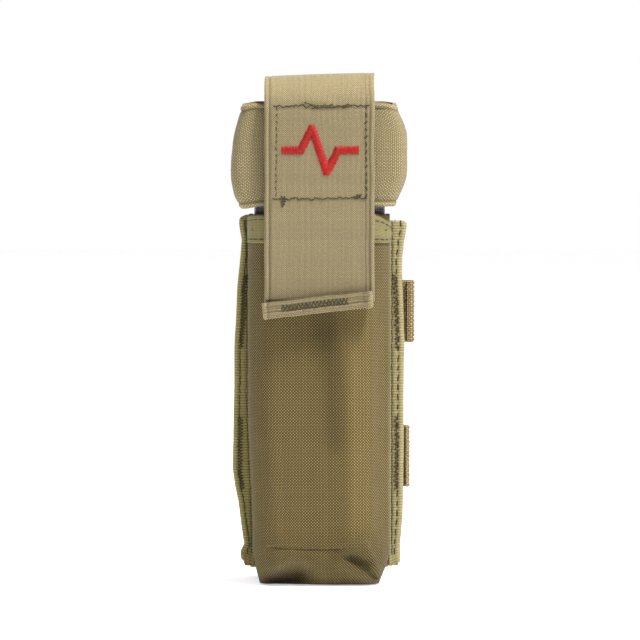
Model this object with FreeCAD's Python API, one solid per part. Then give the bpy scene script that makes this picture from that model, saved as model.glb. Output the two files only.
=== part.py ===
import FreeCAD, Part

import math
import os

# Tourniquet in its belt pouch. The pouch is a sewn cloth box on a stiff back panel, with an elastic cuff
# above its mouth and an elastic flap that comes from behind, over the top and down the front. The folded
# tourniquet stands inside. Millimetres, +Z up, front of the pouch towards -Y, X = 0 in the middle.
# The origin is the centre of the flat base that the pouch stands on.

# Cloth, tape and webbing thicknesses
cloth = 1.2
lining = 0.8
stiffener_sheet = 1.4
tape = 0.8
mouth_tape_thickness = 0.5
elastic = 1.6
cuff_elastic = 1.8
row_webbing = 1.4
strap_webbing = 1.8
patch_thickness = 1.0
thread_height = 0.4

# Running clearances
air = 0.4
hinge_air = 0.4
tourniquet_air = 0.4
stitch_air = 0.2

# Front box
body_width = 49.6
base_width = 42.0
base_depth = 29.0
body_bulge = 1.6
corner_radius = 10.0
base_corner_radius = 7.0
skirt_height = 13.0
mouth_above_panel_top = 0.4
mouth_tape_height = 10.0

# Back panel and its binding
wing_middle = 6.2
wing_top = 5.5
wing_bottom = 3.8
panel_bottom = 3.0
panel_top_radius = 4.0
panel_bottom_radius = 8.0
wing_taper_low = 56.0
wing_taper_high = 28.0
binding_height = 4.6
stiffener_margin = 3.0

# Rows of webbing on the back, and the strap that weaves through them
row_height = 25.4
row_pitch = 50.8
tack_spacing = 38.1
tack_width = 2.0
snap_above_base = 14.0
row_above_snap = 30.2
row_overhang_upper = 4.8
row_overhang_lower = 1.6
row_inset_left = 0.4
strap_width = 25.4
strap_tail = 9.5
anchor_height = 8.0
panel_above_hinge = 12.3

# Snap fastener
snap_flange_radius = 5.5
snap_flange = 0.6
snap_dome_share = 0.6
snap_neck_radius = 2.3
snap_head_radius = 2.75
snap_post_radius = 1.5
snap_fit = 0.3
socket_radius = 6.0
snap_cap_radius = 7.2
snap_cap_height = 2.0

# Cuff and its riser
cuff_above_mouth = 2.8
cuff_height = 37.5
cuff_half_bottom = 26.5
cuff_half_middle = 30.75
cuff_half_top = 24.5
cuff_flare_low = 8.2
cuff_flare_high = 10.3
cuff_corner_radius = 5.0
riser_thickness = 1.6
riser_below_panel_top = 29.6
riser_below_cuff_top = 2.3
loop_patch_width = 33.0
loop_patch_height = 22.0
loop_patch_above_cuff = 4.0

# Flap
flap_width = 38.2
flap_above_cuff = 8.7
hook_patch_size = 32.4
hook_patch_above_cuff = 3.2
flap_below_mouth = 34.5
tab_width = 38.5
tab_height = 6.0
tab_thickness = 2.4
tab_tilt = 6.0
tab_tack_length = 22.0
tab_tack_height = 3.0
mark_width = 28.6
mark_height = 18.0
mark_stroke = 2.8
mark_lead_share = 0.5
mark_peak_share = 0.2

# Tourniquet
head_room = 12.3
floor_air = 0.8
band_width = 38.1
band_thickness = 2.3
band_layers = 5
band_gap = 0.45
tip_length = 20.0
tip_corner_share = 0.6
plate_width = 38.0
plate_thickness = 1.8
plate_length = 98.0
plate_above_base = 18.0
ribbon_width = 25.4
ribbon_thickness = 1.0
ribbon_air = 0.1
rod_diameter = 8.4
rod_below_buckle = 2.6
rod_above_base = 12.0
rod_ring_pitch = 4.0
rod_slot_length = 26.2
clip_length = 18.0
clip_wall = 1.8
clip_fit = 0.3
clip_above_rod_end = 6.0
time_strap_length = 14.0
time_strap_thickness = 1.1
buckle_height = 23.0
buckle_thickness = 4.6
buckle_bar = 5.4
buckle_corner_share = 0.8

# Heights, from the base up
snap_z = snap_above_base
row_lower_z = snap_z + row_above_snap
row_upper_z = row_lower_z + row_pitch
anchor_bottom = row_upper_z + row_height / 2 + air
anchor_top = anchor_bottom + anchor_height
flap_hinge_z = anchor_top + elastic / 2 + hinge_air
panel_top = flap_hinge_z + panel_above_hinge
mouth_z = panel_top + mouth_above_panel_top
cuff_bottom = mouth_z + cuff_above_mouth
cuff_top = cuff_bottom + cuff_height
flap_top_z = cuff_top + flap_above_cuff
tail_z = mouth_z - flap_below_mouth
strap_hinge_z = anchor_bottom - strap_webbing / 2 - hinge_air
strap_end_z = snap_z - strap_tail

# Depths, from the seam on the back panel's face
band_stack = band_layers * band_thickness + (band_layers - 1) * band_gap
tourniquet_depth = (band_stack + plate_thickness + ribbon_thickness + ribbon_air + rod_diameter
                    + clip_fit + time_strap_thickness)
cuff_depth = tourniquet_depth + 2 * tourniquet_air + 2 * cuff_elastic
seam_y = base_depth / 2
panel_thickness = 2 * lining + stiffener_sheet
panel_back = seam_y + panel_thickness
cuff_back = seam_y - riser_thickness
cuff_front = cuff_back - cuff_depth
body_front = cuff_front - body_bulge
base_front = -base_depth / 2
row_front = panel_back + tape
row_back = row_front + row_webbing
strap_front = row_back + air
strap_back = strap_front + strap_webbing
flap_rear_front = panel_back + air
flap_rear_back = flap_rear_front + elastic
flap_inner = body_front - mouth_tape_thickness - air
flap_outer = flap_inner - elastic
flap_rear_y = (flap_rear_front + flap_rear_back) / 2
flap_front_y = (flap_inner + flap_outer) / 2
flap_top_mid = flap_top_z - elastic / 2
hinge_gap = elastic / 2 + hinge_air
tourniquet_back = cuff_back - cuff_elastic - tourniquet_air
tourniquet_bottom = cloth + floor_air
tourniquet_top = cuff_top - head_room

# Widths, from the middle
body_half = body_width / 2
panel_half_middle = body_half + wing_middle
panel_half_top = body_half + wing_top
panel_half_bottom = body_half + wing_bottom
buckle_half = cuff_half_top - cuff_elastic - tourniquet_air


def box(x_range, y_range, z_range):
    """A block between the two ends of each range."""
    corner = FreeCAD.Vector(x_range[0], y_range[0], z_range[0])
    return Part.makeBox(x_range[1] - x_range[0], y_range[1] - y_range[0], z_range[1] - z_range[0], corner)


def middle_box(width, y_range, z_range):
    """A block centred on X = 0."""
    return box((-width / 2, width / 2), y_range, z_range)


def round_bar(radius, start, end, along=FreeCAD.Vector(0, 1, 0), x=0.0, y=0.0, z=0.0):
    """A cylinder along one axis, from start to end on that axis."""
    base = FreeCAD.Vector(x, y, z) + along * start
    return Part.makeCylinder(radius, end - start, base, along)


def rounded_wire(points, radii):
    """A closed wire through the points, with a tangent arc of each point's radius (0 leaves it sharp)."""
    edges = []
    ends = []
    count = len(points)
    for i in range(count):
        here = points[i]
        to_last = (points[i - 1] - here).normalize()
        to_next = (points[(i + 1) % count] - here).normalize()
        if radii[i] == 0:
            ends.append((here, here, None))
            continue
        half_turn = to_last.getAngle(to_next) / 2
        reach = radii[i] / math.tan(half_turn)
        bisector = (to_last + to_next).normalize()
        middle = here + bisector * (radii[i] / math.sin(half_turn) - radii[i])
        ends.append((here + to_last * reach, here + to_next * reach, middle))
    for i in range(count):
        start, end, middle = ends[i]
        if middle is not None:
            edges.append(Part.Arc(start, middle, end).toShape())
        edges.append(Part.LineSegment(end, ends[(i + 1) % count][0]).toShape())
    return Part.Wire(edges)


def panel_plate(inset, y_range):
    """The back panel's outline, drawn in by inset, as a plate between two depths."""
    low = panel_bottom + inset
    high = panel_top - inset
    corners = [
        (-panel_half_bottom, low, panel_bottom_radius),
        (panel_half_bottom, low, panel_bottom_radius),
        (panel_half_middle, panel_bottom + wing_taper_low, 0),
        (panel_half_middle, panel_top - wing_taper_high, 0),
        (panel_half_top, high, panel_top_radius),
        (-panel_half_top, high, panel_top_radius),
        (-panel_half_middle, panel_top - wing_taper_high, 0),
        (-panel_half_middle, panel_bottom + wing_taper_low, 0),
    ]
    points = [FreeCAD.Vector(x - math.copysign(inset, x), y_range[0], z) for x, z, radius in corners]
    radii = [max(radius - inset, 1.0) if radius else 0 for x, z, radius in corners]
    face = Part.Face(rounded_wire(points, radii))
    return face.extrude(FreeCAD.Vector(0, y_range[1] - y_range[0], 0))


def box_section(half_width, front, radius, z):
    """The front box's section at one height: square at the seam, rounded at the front."""
    points = [
        FreeCAD.Vector(-half_width, seam_y, z),
        FreeCAD.Vector(-half_width, front, z),
        FreeCAD.Vector(half_width, front, z),
        FreeCAD.Vector(half_width, seam_y, z),
    ]
    return rounded_wire(points, [0, radius, radius, 0])


def box_body(inset, bottom, top):
    """The front box drawn in by inset: a straight shaft on a skirt that narrows to the base."""
    radius = corner_radius - inset
    shaft = box_section(body_half - inset, body_front + inset, radius, skirt_height)
    mouth = box_section(body_half - inset, body_front + inset, radius, top)
    foot = box_section(base_width / 2 - inset, base_front + inset, base_corner_radius - inset, bottom)
    return Part.makeLoft([foot, shaft, mouth], True, True)


def cuff_body(inset):
    """The cuff drawn in by inset: a loop whose sides stand out in the middle of its height."""
    sections = []
    heights = [cuff_bottom, cuff_bottom + cuff_flare_low, cuff_top - cuff_flare_high, cuff_top]
    halves = [cuff_half_bottom, cuff_half_middle, cuff_half_middle, cuff_half_top]
    for z, half in zip(heights, halves):
        points = [
            FreeCAD.Vector(inset - half, cuff_back - inset, z),
            FreeCAD.Vector(inset - half, cuff_front + inset, z),
            FreeCAD.Vector(half - inset, cuff_front + inset, z),
            FreeCAD.Vector(half - inset, cuff_back - inset, z),
        ]
        sections.append(rounded_wire(points, [cuff_corner_radius - inset] * 4))
    return Part.makeLoft(sections, True, True)


# Layers of the back panel: lining, stiffener and outer cloth, riveted through by the snap's post
def back_layers():
    post = round_bar(snap_post_radius, seam_y - 1, panel_back + 1, z=snap_z)
    lining_back = seam_y + lining
    outer_front = panel_back - lining
    return {
        "back_liner": panel_plate(tape, (seam_y, lining_back)).cut(post),
        "back_stiffener": panel_plate(tape + stiffener_margin, (lining_back, outer_front)).cut(post),
        "back_panel": panel_plate(tape, (outer_front, panel_back)).cut(post),
    }


# Binding tape folded over the panel's edge: one strip down each wing and one under the box
def bindings():
    outside = panel_plate(0, (seam_y - tape, panel_back + tape))
    wrapped = outside.cut(panel_plate(tape, (seam_y, panel_back)))
    beyond = panel_half_middle + tape
    depth = (seam_y - 2 * tape, panel_back + 2 * tape)
    tall = (panel_bottom - tape, panel_top + tape)
    bottom_depth = (seam_y, panel_back + tape)
    return {
        "side_tape_left": wrapped.common(box((-beyond, -body_half), depth, tall)),
        "side_tape_right": wrapped.common(box((body_half, beyond), depth, tall)),
        "bottom_tape": wrapped.common(
            middle_box(body_width, bottom_depth, (panel_bottom - tape, panel_bottom + binding_height))),
    }


# Front box: one piece of coarse cloth, closed below and open above
def front_panel():
    return box_body(0, 0, mouth_z).cut(box_body(cloth, cloth, mouth_z + 1))


# Smooth tape around the mouth's edge
def mouth_tape():
    low = mouth_z - mouth_tape_height
    outer_half = body_half + mouth_tape_thickness
    outer_front = body_front - mouth_tape_thickness
    outer = box_section(outer_half, outer_front, corner_radius + mouth_tape_thickness, low)
    inner = box_section(body_half, body_front, corner_radius, low)
    ring = Part.Face(outer).cut(Part.Face(inner)).extrude(FreeCAD.Vector(0, 0, mouth_tape_height))
    return ring.cut(middle_box(4 * body_width, (seam_y - tape, seam_y + 1), (low - 1, mouth_z + 1)))


# Elastic cuff, the riser that carries it, and its loop patch
def cuff_parts():
    patch_bottom = cuff_bottom + loop_patch_above_cuff
    return {
        "cuff": cuff_body(0).cut(cuff_body(cuff_elastic)),
        "cuff_riser": middle_box(
            flap_width,
            (cuff_back, seam_y),
            (panel_top - riser_below_panel_top, cuff_top - riser_below_cuff_top)),
        "cuff_loop_patch": middle_box(
            loop_patch_width,
            (cuff_front - patch_thickness, cuff_front),
            (patch_bottom, patch_bottom + loop_patch_height)),
    }


# Rows of webbing on the back. Each is tacked to the panel 1.5 in apart, and its right end is folded double.
def rows():
    made = {}
    places = (("upper", row_upper_z, row_overhang_upper), ("lower", row_lower_z, row_overhang_lower))
    for name, z, overhang in places:
        tall = (z - row_height / 2, z + row_height / 2)
        left = row_inset_left - panel_half_middle
        right = panel_half_middle + overhang
        webbing = box((left, right), (row_front, row_back), tall)
        fold_start = panel_half_middle + stitch_air
        webbing = webbing.fuse(box((fold_start, right), (row_front - row_webbing, row_front), tall))
        tack_tall = (tall[0] + tack_width, tall[1] - tack_width)
        for side, x in (("left", -tack_spacing / 2), ("right", tack_spacing / 2)):
            tack = box(
                (x - tack_width / 2, x + tack_width / 2), (panel_back, row_back + stitch_air), tack_tall)
            webbing = webbing.cut(tack)
            made["row_tack_" + name + "_" + side] = tack
        made["molle_row_" + name] = webbing.removeSplitter()
    return made


# Zigzag tacks on the front of the side tapes, where the rows' ends are sewn through
def tape_tacks():
    made = {}
    for side, sign in (("left", -1), ("right", 1)):
        x = sign * (body_half + wing_middle / 2)
        for name, z in (("upper", row_upper_z), ("lower", row_lower_z)):
            made["tape_tack_" + name + "_" + side] = box(
                (x - tack_width / 2, x + tack_width / 2),
                (seam_y - tape - thread_height, seam_y - tape),
                (z - row_height / 2, z + row_height / 2))
    return made


# Sewn ends of the flap and of the back strap, one over the other on the panel
def anchors():
    tall = (anchor_bottom, anchor_top)
    return {
        "flap_anchor": middle_box(flap_width, (panel_back, flap_rear_back), tall),
        "strap_anchor": middle_box(strap_width, (flap_rear_back, strap_back), tall),
    }


# Snap fastener, panel half: a stud outside and a flat head inside the pouch, joined by the post
def snap_stud():
    flange_back = panel_back + snap_flange
    head_back = strap_front - snap_flange - snap_fit
    flange = round_bar(snap_flange_radius, panel_back, flange_back, z=snap_z)
    neck = round_bar(snap_neck_radius, flange_back, head_back, z=snap_z)
    head = round_bar(snap_head_radius, (flange_back + head_back) / 2, head_back, z=snap_z)
    post = round_bar(snap_post_radius, seam_y, panel_back, z=snap_z)
    return flange.fuse([neck, head, post]).removeSplitter()


def snap_eyelet():
    return round_bar(snap_flange_radius, seam_y - snap_flange, seam_y, z=snap_z)


# Back strap and the snap's other half: a socket inside and a domed cap outside
def back_strap():
    post = round_bar(snap_post_radius, strap_front - 1, strap_back + 1, z=snap_z)
    strap = middle_box(
        strap_width, (strap_front, strap_back), (strap_end_z, strap_hinge_z - strap_webbing / 2 - hinge_air))
    socket_front = panel_back + snap_flange + snap_fit
    socket = round_bar(socket_radius, socket_front, strap_front, z=snap_z)
    hollow = round_bar(snap_head_radius + snap_fit, socket_front, strap_front - snap_flange, z=snap_z)
    cap = round_bar(snap_cap_radius, strap_back, strap_back + snap_cap_height, z=snap_z)
    outer_face = strap_back + snap_cap_height
    rim = [edge for edge in cap.Edges if edge.CenterOfMass.y > outer_face - air]
    dome = cap.makeFillet(snap_cap_height * snap_dome_share, rim)
    return {
        "molle_strap": strap.cut(post),
        "snap_socket": socket.cut(hollow),
        "snap_cap": dome.fuse(round_bar(snap_post_radius, strap_front, strap_back, z=snap_z)),
    }


# Flap: three runs of one elastic strap, each stopping short of the fold between it and the next
def flap_runs():
    return {
        "flap_back": middle_box(
            flap_width,
            (flap_rear_front, flap_rear_back),
            (flap_hinge_z + hinge_gap, flap_top_mid - hinge_gap)),
        "flap_top": middle_box(
            flap_width,
            (flap_front_y + hinge_gap, flap_rear_y - hinge_gap),
            (flap_top_z - elastic, flap_top_z)),
        "flap_front": middle_box(
            flap_width, (flap_outer, flap_inner), (tail_z + tab_height / 2, flap_top_mid - hinge_gap)),
    }


# What is sewn to the flap's front run: hook patch inside, square of stitching and emblem outside
def flap_trim():
    low = cuff_bottom + hook_patch_above_cuff
    tall = (low, low + hook_patch_size)
    line = stitch_air * 3
    sewn = middle_box(hook_patch_size, (flap_outer - thread_height, flap_outer), tall)
    inside = middle_box(
        hook_patch_size - 2 * line,
        (flap_outer - 1, flap_outer + 1),
        (tall[0] + line, tall[1] - line))
    return {
        "hook_patch": middle_box(hook_patch_size, (flap_inner, flap_inner + patch_thickness), tall),
        "patch_stitching": sewn.cut(inside),
        "pulse_mark": pulse_mark((tall[0] + tall[1]) / 2),
    }


# Embroidered emblem: a plain pulse line, as a stroke of even width
def pulse_mark(z_middle):
    half = mark_width / 2
    reach = mark_height / 2 - mark_stroke / 2
    end = half - mark_stroke / 2
    lead, peak = end * mark_lead_share, end * mark_peak_share
    line = [(-end, 0), (-lead, 0), (-peak, reach), (peak, -reach), (lead, 0), (end, 0)]
    depth = FreeCAD.Vector(0, thread_height + stitch_air, 0)
    stroke = None
    for (x0, z0), (x1, z1) in zip(line, line[1:]):
        start = FreeCAD.Vector(x0, flap_outer - thread_height - stitch_air, z_middle + z0)
        end_point = FreeCAD.Vector(x1, flap_outer - thread_height - stitch_air, z_middle + z1)
        along = end_point - start
        across = FreeCAD.Vector(-along.z, 0, along.x).normalize() * (mark_stroke / 2)
        corners = [start + across, end_point + across, end_point - across, start - across]
        bar = Part.Face(Part.makePolygon(corners + [corners[0]])).extrude(depth)
        dot = Part.makeCylinder(mark_stroke / 2, depth.y, end_point, FreeCAD.Vector(0, 1, 0))
        stroke = bar.fuse(dot) if stroke is None else stroke.fuse([bar, dot])
    return stroke.removeSplitter()


# Pull tab: the flap's end folded over to the front, a little askew, with a zigzag tack along it
def pull_tab():
    middle = FreeCAD.Vector(0, flap_outer, tail_z + tab_height / 2)
    turn = FreeCAD.Vector(0, -1, 0)
    fold = middle_box(tab_width, (flap_outer - tab_thickness, flap_outer), (tail_z, tail_z + tab_height))
    low = tail_z + (tab_height - tab_tack_height) / 2
    face = flap_outer - tab_thickness
    tack = middle_box(tab_tack_length, (face - thread_height, face), (low, low + tab_tack_height))
    fold.rotate(middle, turn, tab_tilt)
    tack.rotate(middle, turn, tab_tilt)
    return {"pull_tab": fold, "tab_tack": tack}


# Tourniquet band: folded back and forth into a flat stack, its tip at the back
def band():
    fold_radius = band_thickness + band_gap / 2
    low = tourniquet_bottom + fold_radius
    high = tourniquet_top - fold_radius
    half = band_width / 2
    pitch = band_thickness + band_gap
    layers = []
    for i in range(band_layers):
        back = tourniquet_back - i * pitch
        bottom = tourniquet_bottom + tip_length if i == 0 else low
        layers.append(middle_box(band_width, (back - band_thickness, back), (bottom, high)))
        if i == band_layers - 1:
            break
        up = i % 2 == 0
        turn_z = high if up else low
        turn_y = back - band_thickness - band_gap / 2
        along = FreeCAD.Vector(1, 0, 0)
        ring = round_bar(fold_radius, -half, half, along, y=turn_y, z=turn_z)
        ring = ring.cut(round_bar(band_gap / 2, -half, half, along, y=turn_y, z=turn_z))
        reach = (turn_z, turn_z + fold_radius) if up else (turn_z - fold_radius, turn_z)
        depth = (turn_y - fold_radius, turn_y + fold_radius)
        layers.append(ring.common(middle_box(band_width, depth, reach)))
    return layers[0].fuse(layers[1:]).removeSplitter()


def band_tip():
    half = band_width / 2
    depth = band_thickness
    points = [
        FreeCAD.Vector(-half, tourniquet_back - depth, tourniquet_bottom),
        FreeCAD.Vector(half, tourniquet_back - depth, tourniquet_bottom),
        FreeCAD.Vector(half, tourniquet_back - depth, tourniquet_bottom + tip_length),
        FreeCAD.Vector(-half, tourniquet_back - depth, tourniquet_bottom + tip_length),
    ]
    face = Part.Face(rounded_wire(points, [half * tip_corner_share, half * tip_corner_share, 0, 0]))
    return face.extrude(FreeCAD.Vector(0, depth, 0))


# Stiff plate behind the windlass, the ribbon on it, and the windlass itself
plate_back = tourniquet_back - band_stack
plate_front = plate_back - plate_thickness
plate_low = tourniquet_bottom + plate_above_base
rod_low = tourniquet_bottom + rod_above_base
buckle_top = tourniquet_top - air
buckle_low = buckle_top - buckle_height
rod_length = buckle_low - rod_below_buckle - rod_low
rod_y = plate_front - ribbon_thickness - ribbon_air - rod_diameter / 2
rod_middle = rod_low + rod_length / 2
clip_low = rod_low + clip_above_rod_end
clip_top = clip_low + clip_length


def base_plate():
    plate = middle_box(plate_width, (plate_front, plate_back), (plate_low, plate_low + plate_length))
    corners = [edge for edge in plate.Edges if abs(edge.tangentAt(edge.FirstParameter).y) > 0.99]
    return plate.makeFillet(plate_thickness * 2, corners)


def ribbon():
    flat = middle_box(
        ribbon_width,
        (plate_front - ribbon_thickness, plate_front),
        (clip_top + clip_fit, plate_low + plate_length - air))
    half_loop = (rod_slot_length - 2 * clip_fit) / 2
    loop = middle_box(
        ribbon_thickness,
        (rod_y - rod_diameter / 2, plate_front - ribbon_thickness),
        (rod_middle - half_loop, rod_middle + half_loop))
    return flat.fuse(loop).removeSplitter()


def windlass():
    up = FreeCAD.Vector(0, 0, 1)
    radius = rod_diameter / 2
    waist = radius - air
    rod = round_bar(waist, rod_low, rod_low + rod_length, up, y=rod_y)
    slot_width = ribbon_thickness + 2 * clip_fit
    half_slot = rod_slot_length / 2
    collar = round_bar(radius, rod_middle - half_slot - 3, rod_middle + half_slot + 3, up, y=rod_y)
    rings = [collar]
    count = int((rod_length - rod_slot_length) / 2 / rod_ring_pitch) - 1
    for i in range(count):
        for start in (rod_low + i * rod_ring_pitch, rod_low + rod_length - (i + 0.5) * rod_ring_pitch):
            rings.append(round_bar(radius, start, start + rod_ring_pitch / 2, up, y=rod_y))
    slot = middle_box(
        slot_width, (rod_y - radius - 1, rod_y + radius + 1), (rod_middle - half_slot, rod_middle + half_slot))
    return rod.fuse(rings).cut(slot).removeSplitter()


def windlass_clip():
    up = FreeCAD.Vector(0, 0, 1)
    bore = rod_diameter / 2 + clip_fit
    outside = bore + clip_wall
    foot = middle_box(
        plate_width - 4 * clip_wall,
        (plate_front - ribbon_thickness - clip_fit, plate_front),
        (clip_low, clip_top))
    ring = round_bar(outside, clip_low, clip_top, up, y=rod_y)
    mouth = middle_box(4 * outside, (rod_y - 2 * outside, rod_y - outside / 2), (clip_low - 1, clip_top + 1))
    behind = middle_box(4 * outside, (plate_front, plate_front + outside), (clip_low - 1, clip_top + 1))
    hole = round_bar(bore, clip_low - 1, clip_top + 1, up, y=rod_y)
    return foot.fuse(ring).cut(mouth.fuse([behind, hole])).removeSplitter()


# Light strap that closes over the clip, fixed at both edges of the plate
def time_strap():
    inner = plate_width / 2 + stitch_air
    outer = inner + time_strap_thickness
    front = rod_y - rod_diameter / 2 - clip_fit
    low = (clip_low + clip_top - time_strap_length) / 2
    tall = (low, low + time_strap_length)
    strap = middle_box(2 * outer, (front - time_strap_thickness, plate_back), tall)
    return strap.cut(middle_box(2 * inner, (front, plate_back), tall))


# Buckle at the top of the stack: a frame with a middle bar
def buckle():
    front = plate_back - buckle_thickness
    frame = middle_box(2 * buckle_half, (front, plate_back), (buckle_low, buckle_top))
    upright = [edge for edge in frame.Edges if abs(edge.tangentAt(edge.FirstParameter).y) > 0.99]
    frame = frame.makeFillet(buckle_bar * buckle_corner_share, upright)
    slot = (buckle_height - 3 * buckle_bar) / 2
    for i in range(2):
        start = buckle_low + buckle_bar + i * (slot + buckle_bar)
        frame = frame.cut(
            middle_box(2 * (buckle_half - buckle_bar), (front - 1, plate_back + 1), (start, start + slot)))
    return frame


nodes = {
    "front_panel": front_panel(),
    "mouth_tape": mouth_tape(),
    "snap_stud": snap_stud(),
    "snap_eyelet": snap_eyelet(),
    "tourniquet_band": band(),
    "tourniquet_tip": band_tip(),
    "tourniquet_plate": base_plate(),
    "tourniquet_ribbon": ribbon(),
    "windlass": windlass(),
    "windlass_clip": windlass_clip(),
    "time_strap": time_strap(),
    "buckle": buckle(),
}
groups = (
    back_layers, bindings, cuff_parts, rows, tape_tacks, anchors, back_strap, flap_runs, flap_trim, pull_tab)
for group in groups:
    nodes.update(group())

os.makedirs("parts", exist_ok=True)
for name, shape in nodes.items():
    shape.exportStep("parts/" + name + ".step")
print(len(nodes), "nodes")
print("flap hinges (y, z):")
print((flap_rear_y, flap_hinge_z), (flap_rear_y, flap_top_mid), (flap_front_y, flap_top_mid))
print("strap hinge (y, z):", (strap_front + strap_webbing / 2, strap_hinge_z))
print("tourniquet height range:", tourniquet_bottom, tourniquet_top, "cuff top:", cuff_top)
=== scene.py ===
import math
import random

import bmesh
import bpy
from mathutils import Matrix, Vector, noise


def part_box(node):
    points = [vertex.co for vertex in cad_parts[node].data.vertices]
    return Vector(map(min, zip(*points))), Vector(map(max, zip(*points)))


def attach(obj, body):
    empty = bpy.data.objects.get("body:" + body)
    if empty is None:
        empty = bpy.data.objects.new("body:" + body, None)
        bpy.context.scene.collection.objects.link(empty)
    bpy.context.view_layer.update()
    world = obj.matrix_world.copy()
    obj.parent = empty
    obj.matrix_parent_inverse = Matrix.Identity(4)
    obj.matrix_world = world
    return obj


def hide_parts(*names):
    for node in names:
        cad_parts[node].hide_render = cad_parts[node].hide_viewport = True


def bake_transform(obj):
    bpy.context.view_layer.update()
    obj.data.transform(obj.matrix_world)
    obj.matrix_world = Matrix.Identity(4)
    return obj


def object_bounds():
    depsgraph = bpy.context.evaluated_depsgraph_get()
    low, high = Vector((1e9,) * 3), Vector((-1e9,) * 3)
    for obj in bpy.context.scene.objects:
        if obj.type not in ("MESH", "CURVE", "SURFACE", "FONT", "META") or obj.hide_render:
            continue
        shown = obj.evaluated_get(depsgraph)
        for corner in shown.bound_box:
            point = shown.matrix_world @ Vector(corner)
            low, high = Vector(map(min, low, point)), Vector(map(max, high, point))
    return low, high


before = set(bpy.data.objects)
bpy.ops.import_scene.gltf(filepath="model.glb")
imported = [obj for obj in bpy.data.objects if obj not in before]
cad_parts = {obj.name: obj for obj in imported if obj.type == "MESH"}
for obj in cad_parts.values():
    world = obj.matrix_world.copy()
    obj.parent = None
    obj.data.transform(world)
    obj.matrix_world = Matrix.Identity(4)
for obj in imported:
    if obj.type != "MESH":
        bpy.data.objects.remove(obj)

cad_low, cad_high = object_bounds()
mm = 0.001
scene = bpy.context.scene

# Studio: a white paper floor that runs far back under a white sky that is brighter behind, one large soft key from the
# upper right in front, and a weak light behind. The camera has a long lens and stands just above level.
scene.view_settings.view_transform = "Standard"


def srgb(code, strength=1.0):
    """A hex sRGB colour as linear RGBA."""
    parts = [int(code[i:i + 2], 16) / 255 for i in (1, 3, 5)]
    linear = [c / 12.92 if c <= 0.04045 else ((c + 0.055) / 1.055) ** 2.4 for c in parts]
    return (*[c * strength for c in linear], 1.0)


def put(tree, kind, feed=(), **settings):
    """Adds one node. Settings are its own fields; feed gives its sockets a value or another node's socket."""
    made = tree.nodes.new(kind)
    for field, value in settings.items():
        setattr(made, field, value)
    for socket, value in dict(feed).items():
        if isinstance(value, bpy.types.NodeSocket):
            tree.links.new(value, made.inputs[socket])
        else:
            made.inputs[socket].default_value = value
    return made


def finish_of(name):
    """A new material's node tree, with its surface shader and its output."""
    material = bpy.data.materials.new(name)
    material.use_nodes = True
    tree = material.node_tree
    return material, tree, tree.nodes["Principled BSDF"]


sky = bpy.data.worlds.new("white_sky")
sky.use_nodes = True
tree = sky.node_tree
toward = put(tree, "ShaderNodeTexCoord")
split = put(tree, "ShaderNodeSeparateXYZ", {0: toward.outputs["Generated"]})
behind = put(tree, "ShaderNodeMapRange", {"Value": split.outputs["Y"], "From Min": -0.1, "From Max": 0.7, "To Min": 0.28, "To Max": 1.0})
tree.links.new(behind.outputs["Result"], tree.nodes["Background"].inputs["Strength"])
tree.nodes["Background"].inputs["Color"].default_value = (1.0, 1.0, 1.0, 1.0)
scene.world = sky

middle = (cad_low + cad_high) / 2
aim = Vector((0.2 * mm, middle.y, middle.z + 3 * mm))


def lamp(name, place, size, power, tint):
    """A square soft light at a place, turned to the object."""
    light = bpy.data.lights.new(name, "AREA")
    light.size = size
    light.energy = power
    light.color = srgb(tint)[:3]
    made = bpy.data.objects.new(name, light)
    made.location = place
    made.rotation_euler = (aim - Vector(place)).to_track_quat("-Z", "Y").to_euler()
    scene.collection.objects.link(made)


lamp("key_light", (0.56, -0.43, 1.40), 0.30, 38.0, "#fffaf4")
lamp("rim_light", (-0.6, 0.9, 0.7), 0.5, 5.0, "#f4f7ff")

eye = bpy.data.cameras.new("camera")
eye.sensor_width = 36.0
eye.lens = 191.0
eye_object = bpy.data.objects.new("camera", eye)
distance, rise = 1.2, math.radians(2.3)
eye_object.location = aim + Vector((0, -math.cos(rise), math.sin(rise))) * distance
eye_object.rotation_euler = (aim - eye_object.location).to_track_quat("-Z", "Y").to_euler()
scene.collection.objects.link(eye_object)
scene.camera = eye_object

# Matt white paper: no gloss, so the floor shows only a soft shadow under the pouch
paper, tree, shader = finish_of("white_paper")
grain = put(tree, "ShaderNodeTexNoise", {"Scale": 900.0, "Detail": 2.0})
fibre = put(tree, "ShaderNodeBump", {"Height": grain.outputs["Fac"], "Strength": 0.05, "Distance": 0.0002})
tree.links.new(fibre.outputs["Normal"], shader.inputs["Normal"])
shader.inputs["Base Color"].default_value = srgb("#fbfbfb")
shader.inputs["Roughness"].default_value = 0.95
shader.inputs["Emission Color"].default_value = (1, 1, 1, 1)
shader.inputs["Emission Strength"].default_value = 0.47
floor_mesh = bpy.data.meshes.new("paper_floor")
reach = 6.0
floor_mesh.from_pydata([(-reach, -reach, 0), (reach, -reach, 0), (reach, reach, 0), (-reach, reach, 0)], [], [(0, 1, 2, 3)])
floor_mesh.materials.append(paper)
floor = bpy.data.objects.new("paper_floor", floor_mesh)
floor.location.z = cad_low.z - 0.1 * mm
scene.collection.objects.link(floor)

# Front box: one piece of coarse coated nylon in a plain weave, cut flat, folded at its front corners and
# sewn into the side seams. Its foot is tucked back under a sewn crease, which leaves dents and corner folds.


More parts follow.
